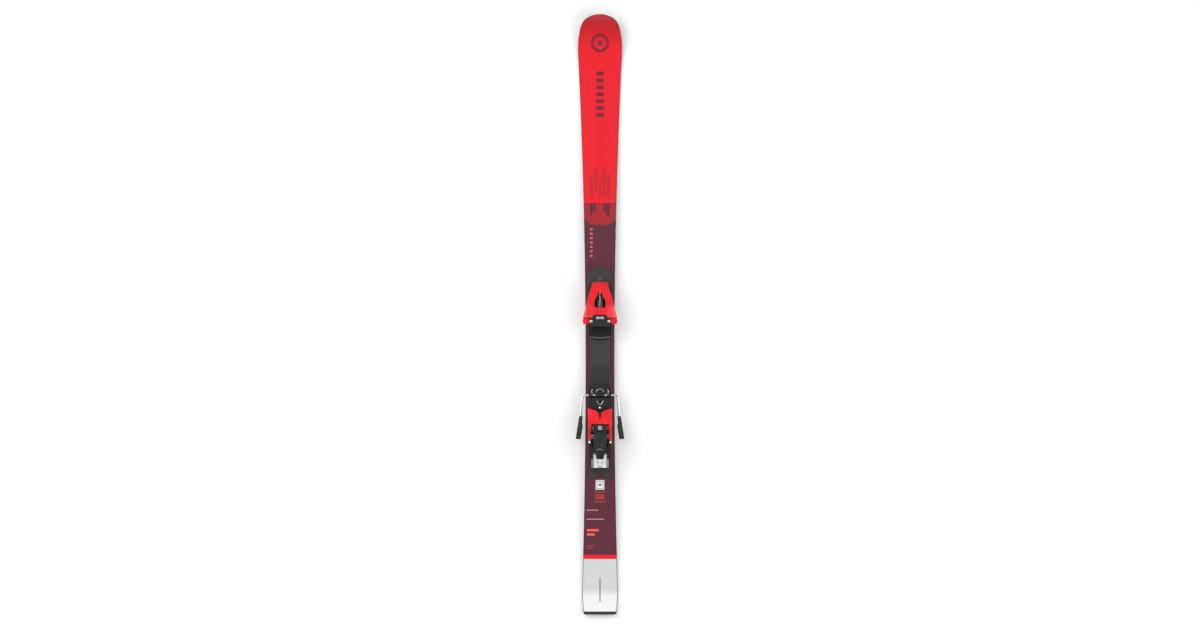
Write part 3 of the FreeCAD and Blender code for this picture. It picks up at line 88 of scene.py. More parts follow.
class Graph:
    """One material's node tree, with a Principled shader at its end.

    The x, y and z of a graph are the point's place on the object, in millimetres. A mask is 1
    inside and 0 outside. In the materials below, g is the material's graph.
    """

    def __init__(self, name):
        self.material = bpy.data.materials.new(name)
        self.material.use_nodes = True
        self.tree = self.material.node_tree
        self.shader = self.tree.nodes["Principled BSDF"]
        coordinates = self.node("ShaderNodeTexCoord")
        self.place = coordinates.outputs["Object"]
        split = self.node("ShaderNodeSeparateXYZ")
        self.tree.links.new(self.place, split.inputs[0])
        self.x, self.y, self.z = (self.math("MULTIPLY", out, 1 / MM) for out in split.outputs)

    def node(self, kind):
        return self.tree.nodes.new(kind)

    def link(self, value, socket):
        """Feed a socket from another node's output, or set it to a plain value."""
        if isinstance(value, bpy.types.NodeSocket):
            self.tree.links.new(value, socket)
        else:
            socket.default_value = value

    def math(self, operation, *values):
        node = self.node("ShaderNodeMath")
        node.operation = operation
        for value, socket in zip(values, node.inputs):
            self.link(value, socket)
        return node.outputs[0]

    def add(self, *values):
        total = values[0]
        for value in values[1:]:
            total = self.math("ADD", total, value)
        return total

    def times(self, *values):
        total = values[0]
        for value in values[1:]:
            total = self.math("MULTIPLY", total, value)
        return total

    def either(self, *masks):
        """Mask of everything that is in any of the masks."""
        total = masks[0]
        for mask in masks[1:]:
            total = self.math("MAXIMUM", total, mask)
        return total

    def between(self, value, low, high):
        """Mask of the places where value lies between low and high."""
        above = self.math("GREATER_THAN", value, low)
        below = self.math("LESS_THAN", value, high)
        return self.times(above, below)

    def bar(self, x_low, x_high, y_low, y_high, lean=0):
        """Mask of a bar in millimetres; lean shears it along X with Y."""
        across = self.x
        if lean:
            across = self.add(self.x, self.times(self.math("SUBTRACT", self.y, y_low), -lean))
        return self.times(self.between(across, x_low, x_high), self.between(self.y, y_low, y_high))

    def disc(self, x_mid, y_mid, x_half, y_half):
        """Mask of an ellipse in millimetres."""
        across = self.times(self.math("SUBTRACT", self.x, x_mid), 1 / x_half)
        along = self.times(self.math("SUBTRACT", self.y, y_mid), 1 / y_half)
        reach = self.add(self.times(across, across), self.times(along, along))
        return self.math("LESS_THAN", reach, 1)

    def ramp(self, value, low, high, out_low=0.0, out_high=1.0):
        """Smooth step from out_low, where value is low, to out_high, where it is high."""
        node = self.node("ShaderNodeMapRange")
        node.interpolation_type = "SMOOTHSTEP"
        for item, socket in zip((value, low, high, out_low, out_high), node.inputs):
            self.link(item, socket)
        return node.outputs[0]

    def mix(self, share, first, second):
        """A colour: first where share is 0, second where it is 1."""
        node = self.node("ShaderNodeMix")
        node.data_type = "RGBA"
        self.link(share, node.inputs["Factor"])
        first_color, second_color, mixed_color = node.inputs[6], node.inputs[7], node.outputs[2]
        self.link(first, first_color)
        self.link(second, second_color)
        return mixed_color

    def noise(self, scale, detail=3.0, roughness=0.5, stretch=(1, 1, 1)):
        """Noise with a cell of about 1/scale metres; stretch makes it longer along an axis."""
        mapping = self.node("ShaderNodeMapping")
        self.tree.links.new(self.place, mapping.inputs["Vector"])
        mapping.inputs["Scale"].default_value = tuple(1 / value for value in stretch)
        texture = self.node("ShaderNodeTexNoise")
        texture.inputs["Scale"].default_value = scale
        texture.inputs["Detail"].default_value = detail
        texture.inputs["Roughness"].default_value = roughness
        self.tree.links.new(mapping.outputs[0], texture.inputs["Vector"])
        return texture.outputs["Fac"]

    def worn_edge(self, radius):
        """Speckled mask along sharp edges, from how far a rounded normal turns from the face's."""
        flat, sharp = 0.995, 0.90
        bevel = self.node("ShaderNodeBevel")
        bevel.samples = 6
        bevel.inputs["Radius"].default_value = radius
        geometry = self.node("ShaderNodeNewGeometry")
        dot = self.node("ShaderNodeVectorMath")
        dot.operation = "DOT_PRODUCT"
        self.tree.links.new(bevel.outputs[0], dot.inputs[0])
        self.tree.links.new(geometry.outputs["Normal"], dot.inputs[1])
        edge = self.ramp(dot.outputs["Value"], flat, sharp)
        speckle = self.ramp(self.noise(420, 4), 0.42, 0.62)
        return self.times(edge, speckle)

    def relief(self, height, strength, depth):
        """Fine bumps, with their depth in millimetres."""
        node = self.node("ShaderNodeBump")
        node.inputs["Strength"].default_value = strength
        node.inputs["Distance"].default_value = depth * MM
        self.tree.links.new(height, node.inputs["Height"])
        self.tree.links.new(node.outputs[0], self.shader.inputs["Normal"])

    def surface(self, color, roughness, **plain):
        """Finish the shader; plain values go straight to the sockets that they name."""
        self.link(color, self.shader.inputs["Base Color"])
        self.link(roughness, self.shader.inputs["Roughness"])
        for name, value in plain.items():
            self.shader.inputs[name.replace("_", " ")].default_value = value
        return self.material


def darker(color, share):
    """A colour with its light cut to a share."""
    return tuple(value * share for value in color[:3]) + (1.0,)


# --- materials ----------------------------------------------------------------------------------


def moulded(name, color, edge, rough, grain, depth, gloss=0.5, mark=None):
    """Injection-moulded plastic: fine grain, faint mottling, paler where the edges are rubbed.

    mark, if given, takes the graph and the body colour and returns the colour with a mark on it.
    """
    g = Graph(name)
    mottle = g.ramp(g.noise(45, 4), 0.35, 0.7)
    body = g.mix(mottle, darker(color, 0.86), color)
    if mark:
        body = mark(g, body)
    body = g.mix(g.times(g.worn_edge(0.0006), 0.55), body, edge)
    smear = g.noise(160, 5, 0.6, (1, 3, 1))
    roughness = g.ramp(smear, 0.25, 0.75, rough - 0.06, rough + 0.08)
    fine = g.noise(grain, 2, 0.5)
    g.relief(fine, 0.25, depth)
    return g.surface(body, roughness, Specular_IOR_Level=gloss)


def metal(name, color, rough, stretch=(1, 1, 1), grain=900, depth=0.03):
    """Drawn, ground or plated metal, with fine lines along one axis and faint tarnish."""
    g = Graph(name)
    lines = g.noise(grain, 3, 0.6, stretch)
    tarnish = g.ramp(g.noise(70, 4), 0.4, 0.75)
    body = g.mix(g.times(tarnish, 0.55), color, darker(color, 0.72))
    roughness = g.ramp(lines, 0.25, 0.75, rough - 0.07, rough + 0.10)
    g.relief(lines, 0.3, depth)
    return g.surface(body, roughness, Metallic=1.0)


# The top sheet's print: places along Y, and half its usual width, in millimetres.
TIP_AT = 690
SIGN_AT = 626
BAND_AT = 258
BAND_FOOT_AT = 207.5
RED_LINE_AT = -552.6
SILVER_AT = -562.2
HALF_WIDTH = 33.0


def stripes(g, value, start, pitch, low, high):
    """Mask of equal stripes along value: each fills the stretch from low to high of its pitch."""
    return g.between(g.math("FRACT", g.times(g.add(value, -start), 1 / pitch)), low, high)


def shovel_print(g):
    """The red shovel, darker at the tip, with a ring, a ladder of blocks and ghostly columns."""
    deep = srgb(158, 0, 12)
    color = g.mix(g.ramp(g.y, 600, TIP_AT), srgb(226, 14, 34), srgb(170, 0, 14))
    streaks = g.ramp(g.noise(60, 4, 0.55, (1, 18, 1)), 0.3, 0.75)
    color = g.mix(g.times(streaks, 0.18), color, deep)
    columns = ((-20, 268, 318), (-10, 284, 337), (0, 268, 308), (10, 276, 341), (20, 268, 326))
    marks = [g.bar(mid - 3.4, mid + 3.4, low, high) for mid, low, high in columns]
    color = g.mix(g.times(g.either(*marks), 0.8), color, srgb(172, 26, 40))
    ticks = [g.bar(side * 28 - 3, side * 28 + 3, 338, 340, side * 1.5) for side in (-1, 1)]
    color = g.mix(g.either(*ticks), color, srgb(150, 40, 52))
    outer = g.disc(0, SIGN_AT, 21, 21)
    ring = g.times(outer, g.math("SUBTRACT", 1, g.disc(0, SIGN_AT, 14.5, 14.5)))
    dot = g.disc(0, SIGN_AT, 6, 6)
    ladder = g.times(g.bar(-8.5, 8.5, 456, 568), stripes(g, g.y, 456, 16, 0, 0.6))
    return g.mix(g.times(g.either(ring, dot, ladder), 0.9), color, srgb(98, 30, 44))


def band_print(g, color):
    """The brick-red band with its rounded foot and short dark columns, above the burgundy body."""
    color = g.mix(g.math("LESS_THAN", g.y, BAND_AT), color, srgb(158, 28, 42))
    short_columns = ((-20, 230), (-12.5, 241), (11, 238), (18.5, 227))
    patches = [g.bar(mid - 3.2, mid + 3.2, low, BAND_AT) for mid, low in short_columns]
    color = g.mix(g.either(*patches), color, srgb(84, 34, 46))
    across = g.times(g.x, 1 / HALF_WIDTH)
    foot = g.add(g.times(across, across, across, across, 12), BAND_FOOT_AT)
    cloth = g.ramp(g.noise(180, 4, 0.6), 0.3, 0.7)
    burgundy = g.mix(g.times(cloth, 0.35), srgb(90, 36, 48), srgb(78, 30, 42))
    color = g.mix(g.math("LESS_THAN", g.y, foot), color, burgundy)
    dots = g.times(g.bar(-23, -17, 131.5, 202.9), stripes(g, g.y, 131.5, 10.2, 0.22, 0.72))
    return g.mix(dots, color, srgb(190, 88, 100))


def heel_print(g, color):
    """Behind the heel: a framed tag, a tick scale between two lines, dashed lines and plain bars."""
    color = g.mix(g.bar(-10, 10, -402, -380), color, srgb(224, 226, 226))
    inside = g.bar(-6.6, 6.6, -398.6, -383.4)
    frame_line = g.times(g.bar(-8, 8, -400, -382), g.math("SUBTRACT", 1, inside))
    middle = g.bar(-3.2, 3.2, -394, -387.6)
    color = g.mix(g.either(frame_line, middle), color, srgb(120, 124, 126))
    rules = g.either(g.bar(-13, 13, -408, -406), g.bar(-13, 13, -431, -429))
    color = g.mix(rules, color, srgb(168, 56, 66))
    scale = g.times(g.bar(-10.4, 10.2, -424, -413), stripes(g, g.x, -10.4, 2.6, 0, 0.5))
    color = g.mix(scale, color, srgb(206, 56, 66))
    thin = g.either(g.bar(-31, -4, -450.2, -448.4), g.bar(-31, 10, -471, -469.2))
    dashed = g.times(thin, stripes(g, g.x, 0, 4.6, 0, 0.72))
    color = g.mix(dashed, color, srgb(214, 176, 180))
    badge = g.either(g.bar(-30, -3, -498, -493), g.bar(-30, -12, -508, -503))
    color = g.mix(badge, color, srgb(240, 92, 84))
    small = g.either(g.bar(-31, -12, -533, -531), g.bar(-31, -17, -538, -536))
    return g.mix(small, color, srgb(150, 62, 74))


def tail_print(g, color):
    """The red line and the silver tail with its thin dashed stroke; the silver has a painted
    highlight towards the tail end.
    """
    color = g.mix(g.math("LESS_THAN", g.y, RED_LINE_AT), color, srgb(226, 10, 38))
    # painted highlight: the silver turns paler from -630 mm back to -650 mm, where the tail turns up
    silver_and_highlight = g.mix(g.ramp(g.y, -650, -630), srgb(228, 229, 229), srgb(199, 201, 202))
    flake = g.ramp(g.noise(5200, 1), 0.55, 0.8)
    silver_and_highlight = g.mix(g.times(flake, 0.3), silver_and_highlight, srgb(244, 245, 245))
    color = g.mix(g.math("LESS_THAN", g.y, SILVER_AT), color, silver_and_highlight)
    stroke = g.times(g.bar(-1.2, 1.2, -660, -605), stripes(g, g.y, 0, 4.4, 0, 0.82))
    return g.mix(stroke, color, srgb(44, 46, 48))


def topsheet_film():
    """The printed top sheet: red shovel, brick-red band, burgundy body, red line, silver tail."""
    g = Graph("topsheet_film")
    color = shovel_print(g)
    color = band_print(g, color)
    color = heel_print(g, color)
    color = tail_print(g, color)
    scuffs = g.ramp(g.noise(240, 5, 0.65, (0.6, 9, 1)), 0.3, 0.75, 0.16, 0.30)
    peel = g.noise(520, 3, 0.5)
    g.relief(peel, 0.12, 0.06)
    return g.surface(color, scuffs, Specular_IOR_Level=0.3, Coat_Weight=0.1, Coat_Roughness=0.1)


def running_base():
    """Black sintered base with the fine ground structure that runs along the ski."""
    g = Graph("running_base")
    grooves = g.noise(1500, 2, 0.5, (1, 60, 1))
    cloud = g.ramp(g.noise(18, 4), 0.3, 0.7)
    color = g.mix(cloud, srgb(26, 26, 28), srgb(44, 44, 47))
    g.relief(grooves, 0.5, 0.08)
    return g.surface(color, g.ramp(grooves, 0.2, 0.8, 0.28, 0.46))


def core_wood():
    """Light and dark strips of wood, glued side by side along the ski."""
    g = Graph("core_wood")
    grain = g.noise(260, 5, 0.6, (1, 26, 1))
    strips = stripes(g, g.x, 0, 18, 0, 0.5)
    light = g.mix(grain, srgb(214, 184, 140), srgb(188, 152, 108))
    dark = g.mix(grain, srgb(190, 150, 104), srgb(158, 118, 78))
    g.relief(grain, 0.3, 0.1)
    return g.surface(g.mix(strips, light, dark), 0.6)


def glass_laminate():
    """Resin-soaked glass cloth with a fine square weave."""
    g = Graph("glass_laminate")
    threads = 6.2
    across = g.math("SINE", g.times(g.x, threads))
    weave = g.times(across, g.math("SINE", g.times(g.y, threads)))
    color = g.mix(g.ramp(weave, -1, 1), srgb(188, 184, 160), srgb(214, 210, 190))
    g.relief(weave, 0.2, 0.08)
    return g.surface(color, 0.4)


def clear_lens():
    """Clear plastic with a little dust."""
    g = Graph("clear_lens")
    dust = g.ramp(g.noise(700, 4), 0.45, 0.8, 0.03, 0.14)
    return g.surface(srgb(240, 244, 246), dust, Transmission_Weight=0.96, IOR=1.45)


def chrome_pins():
    """Polished chrome with a slight haze."""
    g = Graph("chrome_pins")
    haze = g.ramp(g.noise(900, 4), 0.4, 0.8)
    color = g.mix(g.times(haze, 0.3), srgb(238, 239, 240), srgb(205, 207, 210))
    return g.surface(color, g.ramp(haze, 0, 1, 0.06, 0.2), Metallic=1.0)


def red_plastic(name, mark=None):
    """Glossy moulded red plastic with a faint orange peel, shallow scuffs and rubbed edges."""
    g = Graph(name)
    shade = g.ramp(g.noise(38, 4), 0.3, 0.75)
    color = g.mix(shade, srgb(210, 0, 20), srgb(236, 4, 28))
    color = g.mix(g.times(g.worn_edge(0.0005), 0.45), color, srgb(246, 120, 130))
    if mark:
        color = mark(g, color)
    scuffs = g.ramp(g.noise(300, 5, 0.65, (1, 5, 1)), 0.3, 0.8, 0.2, 0.36)
    g.relief(g.noise(800, 2), 0.1, 0.05)
    return g.surface(color, scuffs, Specular_IOR_Level=0.35, Coat_Weight=0.2, Coat_Roughness=0.08)


def bracket_steel():
    """Pale yellowish zinc on the cheeks; the foot behind the axle is black from its coating."""
    g = Graph("bracket_steel")
    lines = g.noise(900, 3, 0.6, (1, 1, 12))
    tarnish = g.ramp(g.noise(70, 4), 0.4, 0.75)
    zinc = g.mix(g.times(tarnish, 0.55), srgb(214, 208, 192), srgb(176, 170, 154))
    zinc_to, black_from = -276, -280
    color = g.mix(g.ramp(g.y, zinc_to, black_from), zinc, srgb(24, 24, 25))
    g.relief(lines, 0.3, 0.03)
    return g.surface(color, g.ramp(lines, 0.25, 0.75, 0.27, 0.44), Metallic=0.85)


# Places on the heel piece, in millimetres: marks lie above this height, and the cup's lip has a
# V-shaped valley that widens from its rear end to the front.
UPPER_SIDE = 60
VALLEY_REAR = -237
VALLEY_FRONT = -218
VALLEY_SPREAD = 0.46


def arched_mark(g, body):
    """A plain grey arc on the rear slope of the heel housing."""
    arc = g.times(g.disc(0, -313.4, 10.6, 7.8), g.math("SUBTRACT", 1, g.disc(0, -314.6, 10, 7)))
    mark = g.times(arc, g.bar(-8, 8, -310, -300), g.math("GREATER_THAN", g.z, UPPER_SIDE))
    return g.mix(mark, body, srgb(122, 123, 124))


def rear_edge_painted_highlight(g, body):
    """A painted highlight: a pale band along the curved rear edge of the gliding plate's base."""
    curve, rear, width = 1 / 140, -54.4, 3.2
    edge = g.add(g.times(g.x, g.x, curve), rear)
    highlight_band = g.between(g.y, edge, g.add(edge, width))
    return g.mix(g.times(highlight_band, 0.85), body, srgb(84, 85, 85))


def recess_painted_shade(g, color):
    """The V-shaped recess in the heel cup's lip, darkened with painted shade."""
    inside = g.times(g.add(g.y, -VALLEY_REAR), VALLEY_SPREAD)
    inside = g.math("SUBTRACT", inside, g.math("ABSOLUTE", g.x))
    valley_shade = g.times(g.ramp(inside, 0, 1.6), g.between(g.y, VALLEY_REAR, VALLEY_FRONT))
    return g.mix(g.times(valley_shade, g.math("GREATER_THAN", g.z, UPPER_SIDE)), color, srgb(104, 2, 12))


BLACK = (srgb(14, 15, 16), srgb(92, 93, 95), 0.4, 1200, 0.06, 0.4)

# Moulded plastics: colour, colour of rubbed edges, roughness, scale and depth of the grain, gloss.
PLASTICS = {
    "black_plastic": BLACK,
    "sidewall_plastic": (srgb(24, 22, 24), srgb(92, 90, 92), 0.42, 900, 0.03),
    "protector_plastic": (srgb(18, 18, 19), srgb(80, 80, 82), 0.4, 900, 0.04),
    "plate_plastic": (srgb(46, 46, 47), srgb(104, 104, 106), 0.52, 1300, 0.08, 0.4),
    "track_plastic": (srgb(32, 33, 34), srgb(98, 99, 100), 0.46, 1200, 0.06, 0.4),
    "pointer_plastic": (srgb(240, 120, 60), srgb(250, 190, 150), 0.38, 900, 0.03),
    "glide_plastic": (srgb(6, 6, 7), srgb(78, 79, 80), 0.3, 900, 0.03, 0.3),
    "tip_plastic": (srgb(22, 24, 24), srgb(92, 94, 94), 0.46, 1000, 0.08),
    "lever_plastic": (srgb(16, 16, 17), srgb(88, 90, 91), 0.28, 1100, 0.04, 0.4),
}

# Metals: colour, roughness, stretch of the lines along X, Y and Z, scale and depth of the lines.
METALS = {
    "edge_steel": (srgb(196, 197, 200), 0.28, (1, 30, 1), 1500),
    "metal_laminate": (srgb(206, 208, 212), 0.34, (1, 40, 1)),
    "screw_steel": (srgb(92, 93, 96), 0.32),
    "spring_steel": (srgb(196, 198, 202), 0.22, (1, 1, 1), 1400),
    "bright_steel": (srgb(214, 215, 218), 0.2, (1, 1, 1), 1500, 0.02),
    "tab_metal": (srgb(236, 237, 238), 0.36, (6, 1, 1)),
}

# The finish of each material slot in the record.
PAINTS = {
    "running_base": running_base(),
    "glass_laminate": glass_laminate(),
    "core_wood": core_wood(),
    "topsheet_film": topsheet_film(),
    "red_plastic": red_plastic("red_plastic"),
    "clear_lens": clear_lens(),
    "chrome_pins": chrome_pins(),
    "bracket_steel": bracket_steel(),
}
PAINTS.update({name: moulded(name, *values) for name, values in PLASTICS.items()})
PAINTS.update({name: metal(name, *values) for name, values in METALS.items()})

# Nodes with a finish of their own.
NODE_PAINTS = {
    "heel_housing": moulded("housing_black", *BLACK, mark=arched_mark),
    # the gliding plate's base carries a painted highlight along its curved rear edge
    "afd_base": moulded("sole_base_black", *BLACK, mark=rear_edge_painted_highlight),
    # the heel cup's lip gets painted shade in its V-shaped recess
    "heel_cup": red_plastic("cup_red", recess_painted_shade),
    "lock_plate": metal("grey_zinc", srgb(150, 152, 152), 0.36, (1, 12, 1)),
}


# --- the CAD nodes: finishes and rounded edges --------------------------------------------------

# Width of the rounding along a node's sharp edges, in millimetres.
ROUNDS = {
    "heel_housing": 0.9, "toe_bridge": 0.7, "brake_base": 0.7, "brake_pedal": 0.6,
    "heel_carriage": 0.6, "toe_base": 0.6, "afd_slider": 0.5, "afd_base": 0.5,
    "brake_tip_right": 0.5, "brake_tip_left": 0.5, "interface_plate": 0.4, "heel_bracket": 0.35,
    "heel_lock_tab": 0.3, "lock_plate": 0.3, "heel_track": 0.3,
}


def soften(thing, width):
    """Join the CAD faces' shared rims, then round the edges that turn by more than sharp degrees."""
    sharp = 28
    weld = thing.modifiers.new("weld", "WELD")
    weld.merge_threshold = RIM_GAP
    bevel = thing.modifiers.new("rounds", "BEVEL")
    bevel.width = width * MM
    bevel.segments = 3
    bevel.limit_method = "ANGLE"
    bevel.angle_limit = math.radians(sharp)
    bevel.harden_normals = True
    bevel.use_clamp_overlap = True


def finish_node(name, thing):
    """Give a CAD node its material, and rounded edges where they show."""
    for place in thing.material_slots:
        place.material = NODE_PAINTS.get(name, PAINTS[SLOT_OF[name]])
    if name in ROUNDS:
        soften(thing, ROUNDS[name])


for node_name, node_object in NODES.items():
    finish_node(node_name, node_object)


# --- pieces built here --------------------------------------------------------------------------

BODY_OF = {node: body for body, nodes in RECORD["behaviour"]["bodies"].items() for node in nodes}


def piece(name, mesh, body, slot, *nodes):
    """A new object that rides on a body, painted like a slot, in place of some CAD nodes."""
    thing = bpy.data.objects.new(name, mesh)
    bpy.context.scene.collection.objects.link(thing)
    mesh.materials.clear()
    mesh.materials.append(PAINTS[slot])
    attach(thing, body)
    if nodes:
        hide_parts(*nodes)
    return thing


def smooth_faces(mesh):
    for polygon in mesh.polygons:
        polygon.use_smooth = True


def tube(name, path, radius, sides=14):
    """A round wire along a list of points, with each end drawn in over a short cone."""
    tip_reach, tip_share = 0.35, 0.6
    tangents = []
    for number in range(len(path)):
        before = path[max(number - 1, 0)]
        after = path[min(number + 1, len(path) - 1)]
        tangents.append((after - before).normalized())
    rings = [(path[0] - tangents[0] * radius * tip_reach, tip_share, 0)]
    rings += [(point, 1.0, number) for number, point in enumerate(path)]
    rings += [(path[-1] + tangents[-1] * radius * tip_reach, tip_share, len(path) - 1)]
    shape = bmesh.new()
    side = tangents[0].orthogonal().normalized()
    loops = []
    for point, share, number in rings:
        tangent = tangents[number]
        side = (side - tangent * side.dot(tangent)).normalized()
        other = tangent.cross(side)
        loop = []
        for turn in range(sides):
            angle = 2 * math.pi * turn / sides
            reach = side * math.cos(angle) + other * math.sin(angle)
            loop.append(shape.verts.new(point + reach * radius * share))
        loops.append(loop)
    for first, second in zip(loops, loops[1:]):
        for turn in range(sides):
            following = (turn + 1) % sides
            shape.faces.new((first[turn], first[following], second[following], second[turn]))
    shape.faces.new(list(reversed(loops[0])))
    shape.faces.new(loops[-1])
    mesh = bpy.data.meshes.new(name)
    shape.to_mesh(mesh)
    shape.free()
    smooth_faces(mesh)
    return mesh


def coil_points(radius, wire, length, turns, steps=26):
    """Points of a compression spring along +Z from 0; its two end turns rise by closed only."""
    closed = wire * 2.1
    points = []
    count = turns * steps
    for number in range(count + 1):
        turn = number / steps
        if turn < 1:
            rise = closed * turn
        elif turn > turns - 1:
            rise = length - closed * (turns - turn)
        else:
            rise = closed + (length - 2 * closed) * (turn - 1) / (turns - 2)
        angle = 2 * math.pi * turn
        points.append(Vector((radius * math.cos(angle), radius * math.sin(angle), rise)))
    return points


def card_mesh(name, low, high, ticks, tick_size):
    """A small card with a rounded rim, and raised marks at the given X places."""
    shape = bmesh.new()

    def block(first, second):
        corners = bmesh.ops.create_cube(shape, size=1)["verts"]
        middle = (Vector(first) + Vector(second)) / 2
        span = Vector(second) - Vector(first)
        for corner in corners:
            corner.co = Vector(place * size for place, size in zip(corner.co, span)) + middle
        edges = list({edge for corner in corners for edge in corner.link_edges})
        bmesh.ops.bevel(
            shape, geom=edges, offset=min(span) * 0.3, segments=2, affect="EDGES", profile=0.5
        )

    block(low, high)
    for across in ticks:
        wide, deep, tall = tick_size
        middle = (low[1] + high[1]) / 2
        block(
            (across - wide / 2, middle - deep / 2, high[2]),
            (across + wide / 2, middle + deep / 2, high[2] + tall),
        )
    mesh = bpy.data.meshes.new(name)
    shape.to_mesh(mesh)
    shape.free()
    return mesh


def sculpted(node, voxel, passes):
    """A moulded copy of a CAD shape: remeshed and relaxed, so that every edge is softly rounded."""
    name = node + "_shell"
    draft = bpy.data.objects.new(name + "_draft", NODES[node].data.copy())
    bpy.context.scene.collection.objects.link(draft)
    weld = draft.modifiers.new("weld", "WELD")
    weld.merge_threshold = RIM_GAP
    remesh = draft.modifiers.new("remesh", "REMESH")
    remesh.mode = "VOXEL"
    remesh.voxel_size = voxel * MM
    relax = draft.modifiers.new("relax", "SMOOTH")
    relax.factor = 0.5
    relax.iterations = passes
    graph = bpy.context.evaluated_depsgraph_get()
    mesh = bpy.data.meshes.new_from_object(draft.evaluated_get(graph))
    mesh.name = name
    bpy.data.objects.remove(draft)
    smooth_faces(mesh)
    thing = piece(name, mesh, BODY_OF[node], SLOT_OF[node], node)
    if node in NODE_PAINTS:
        mesh.materials[0] = NODE_PAINTS[node]
    return thing


def press_valley(mesh):
    """Press the V-shaped valley into the top of the heel cup's lip, deeper towards its middle."""
    slope = 0.7
    deepest = 1.5 * MM
    lowest = 66.5 * MM
    for vertex in mesh.vertices:
        inside = VALLEY_SPREAD * (vertex.co.y - VALLEY_REAR * MM) - abs(vertex.co.x)
        if inside > 0 and vertex.co.z > lowest and vertex.normal.z > 0.3:
            vertex.co.z -= min(inside * slope, deepest, vertex.co.z - lowest)


def press_in(mesh, share_at, depth):
    """Push a moulded shell's skin inward, by the share that share_at gives for a point and normal."""
    moves = []
    for vertex in mesh.vertices:
        share = share_at(vertex.co / MM, vertex.normal)
        if share > 0:
            moves.append((vertex, vertex.normal.copy() * share * depth * MM))
    for vertex, move in moves:
        vertex.co -= move


def side_panel(point, normal):
    """The shallow panel in each side wall of the toe housing, below its sloping roof."""
    rear, front, foot = 15, 60, 36.5
    rim = 1.4
    roof = 56 - 0.30 * (point.y - rear)
    inside = min(point.y - rear, front - point.y, point.z - foot, roof - point.z)
    return min(max(inside / rim, 0), 1) if abs(normal.x) > 0.7 else 0


def grip_lines(point, normal):
    """Two level lines round a toe wing."""
    half_width = 1.3
    nearest = min(abs(point.z - height) for height in (40, 50))
    return max(0, 1 - (nearest / half_width) ** 2) if abs(normal.z) < 0.4 else 0


def moulded_shells():
    """The red shells and the heel lever, with the hollows that are moulded into them."""
    voxel, passes = 0.6, 7
    press_in(sculpted("toe_housing", voxel, passes).data, side_panel, 0.9)
    for node in ("toe_wing_right", "toe_wing_left"):
        press_in(sculpted(node, voxel, passes).data, grip_lines, 0.6)
    press_valley(sculpted("heel_cup", voxel, passes).data)
    sculpted("heel_lever", 0.45, 8)


def release_spring(name, node, body, wire, turns):
    """An open coil along Y in place of a CAD spring."""
    low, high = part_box(node)
    axis = (low + high) / 2
    points = [
        Vector((axis.x + point.x, low.y + wire + point.z, axis.z + point.y))
        for point in coil_points(5.9 * MM, wire, high.y - low.y - 2 * wire, turns)
    ]
    coil = piece(name, tube(name, points, wire), body, "spring_steel", node)
    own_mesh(coil)


def brake_springs():
    """The brake's two close-wound springs on its axle, each with a straight leg to the rear."""
    low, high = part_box("brake_springs")
    axis = (low + high) / 2
    wire = 0.55 * MM
    radius = 3.25 * MM
    turns = 4
    steps = 26
    start = 11 * MM
    pitch = 1.2 * MM
    leg = 5.4 * MM
    for side, word in ((-1, "left"), (1, "right")):
        points = [Vector((side * start, axis.y - leg, axis.z - radius))]
        for number in range(turns * steps + 1):
            angle = 2 * math.pi * number / steps
            across = side * (start + pitch * number / steps)
            along = axis.y + radius * math.sin(angle)
            points.append(Vector((across, along, axis.z - radius * math.cos(angle))))
        name = "brake_coil_" + word
        replaced = ("brake_springs",) if side < 0 else ()
        piece(name, tube(name, points, wire), "heel_carriage", "tab_metal", *replaced)


def scale_cards():
    """Pale scale cards under the two release-setting windows."""
    lower = Vector((0, 0, 0.28 * MM))
    upper = Vector((0, 0, 0.12 * MM))
    for node, name, body, half, spare, ticks in (
        ("toe_indicator", "toe_scale", "ski", 9.2, 1.1, range(-5, 6)),
        ("heel_indicator", "heel_scale", "heel_head", 4.5, 3.2, ()),
    ):
        low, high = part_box(node)
        mesh = card_mesh(
            name,
            Vector((-half * MM, low.y - spare * MM, low.z)) - lower,
            Vector((half * MM, high.y + spare * MM, low.z)) - upper,
            [1.5 * MM * step for step in ticks],
            (0.35 * MM, 3.2 * MM, 0.05 * MM),
        )
        piece(name, mesh, body, "tab_metal")


def bent_wires():
    """The bright wire springs that show round the brake pedal."""
    along = -184 * MM
    half_out = 0.35 * MM
    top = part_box("brake_pedal")[1].z + half_out
    arch = []
    for step in range(17):
        angle = math.pi * step / 16
        across = -8.4 * MM * math.cos(angle)
        arch.append(Vector((across, along + (7.5 + 6.5 * math.sin(angle)) * MM, top)))
    piece("pedal_wire_arch", tube("pedal_wire_arch", arch, 0.65 * MM), "brake", "bright_steel")
    for side, word in ((-1, "left"), (1, "right")):
        bow = []
        for step in range(11):
            share = step / 10
            across = side * (17.6 + 1.6 * math.sin(math.pi * share)) * MM
            bow.append(Vector((across, along + (3 + 10 * share) * MM, top)))
        name = "pedal_wire_" + word
        piece(name, tube(name, bow, 0.65 * MM), "brake", "bright_steel")
    base_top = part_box("brake_base")[1].z + half_out
    vee = []
    for step in range(13):
        share = step / 6 - 1
        vee.append(Vector((7 * MM * share, along - (22 - 9 * share * share) * MM, base_top)))
    piece("brake_clip", tube("brake_clip", vee, 0.75 * MM), "heel_carriage", "bright_steel")


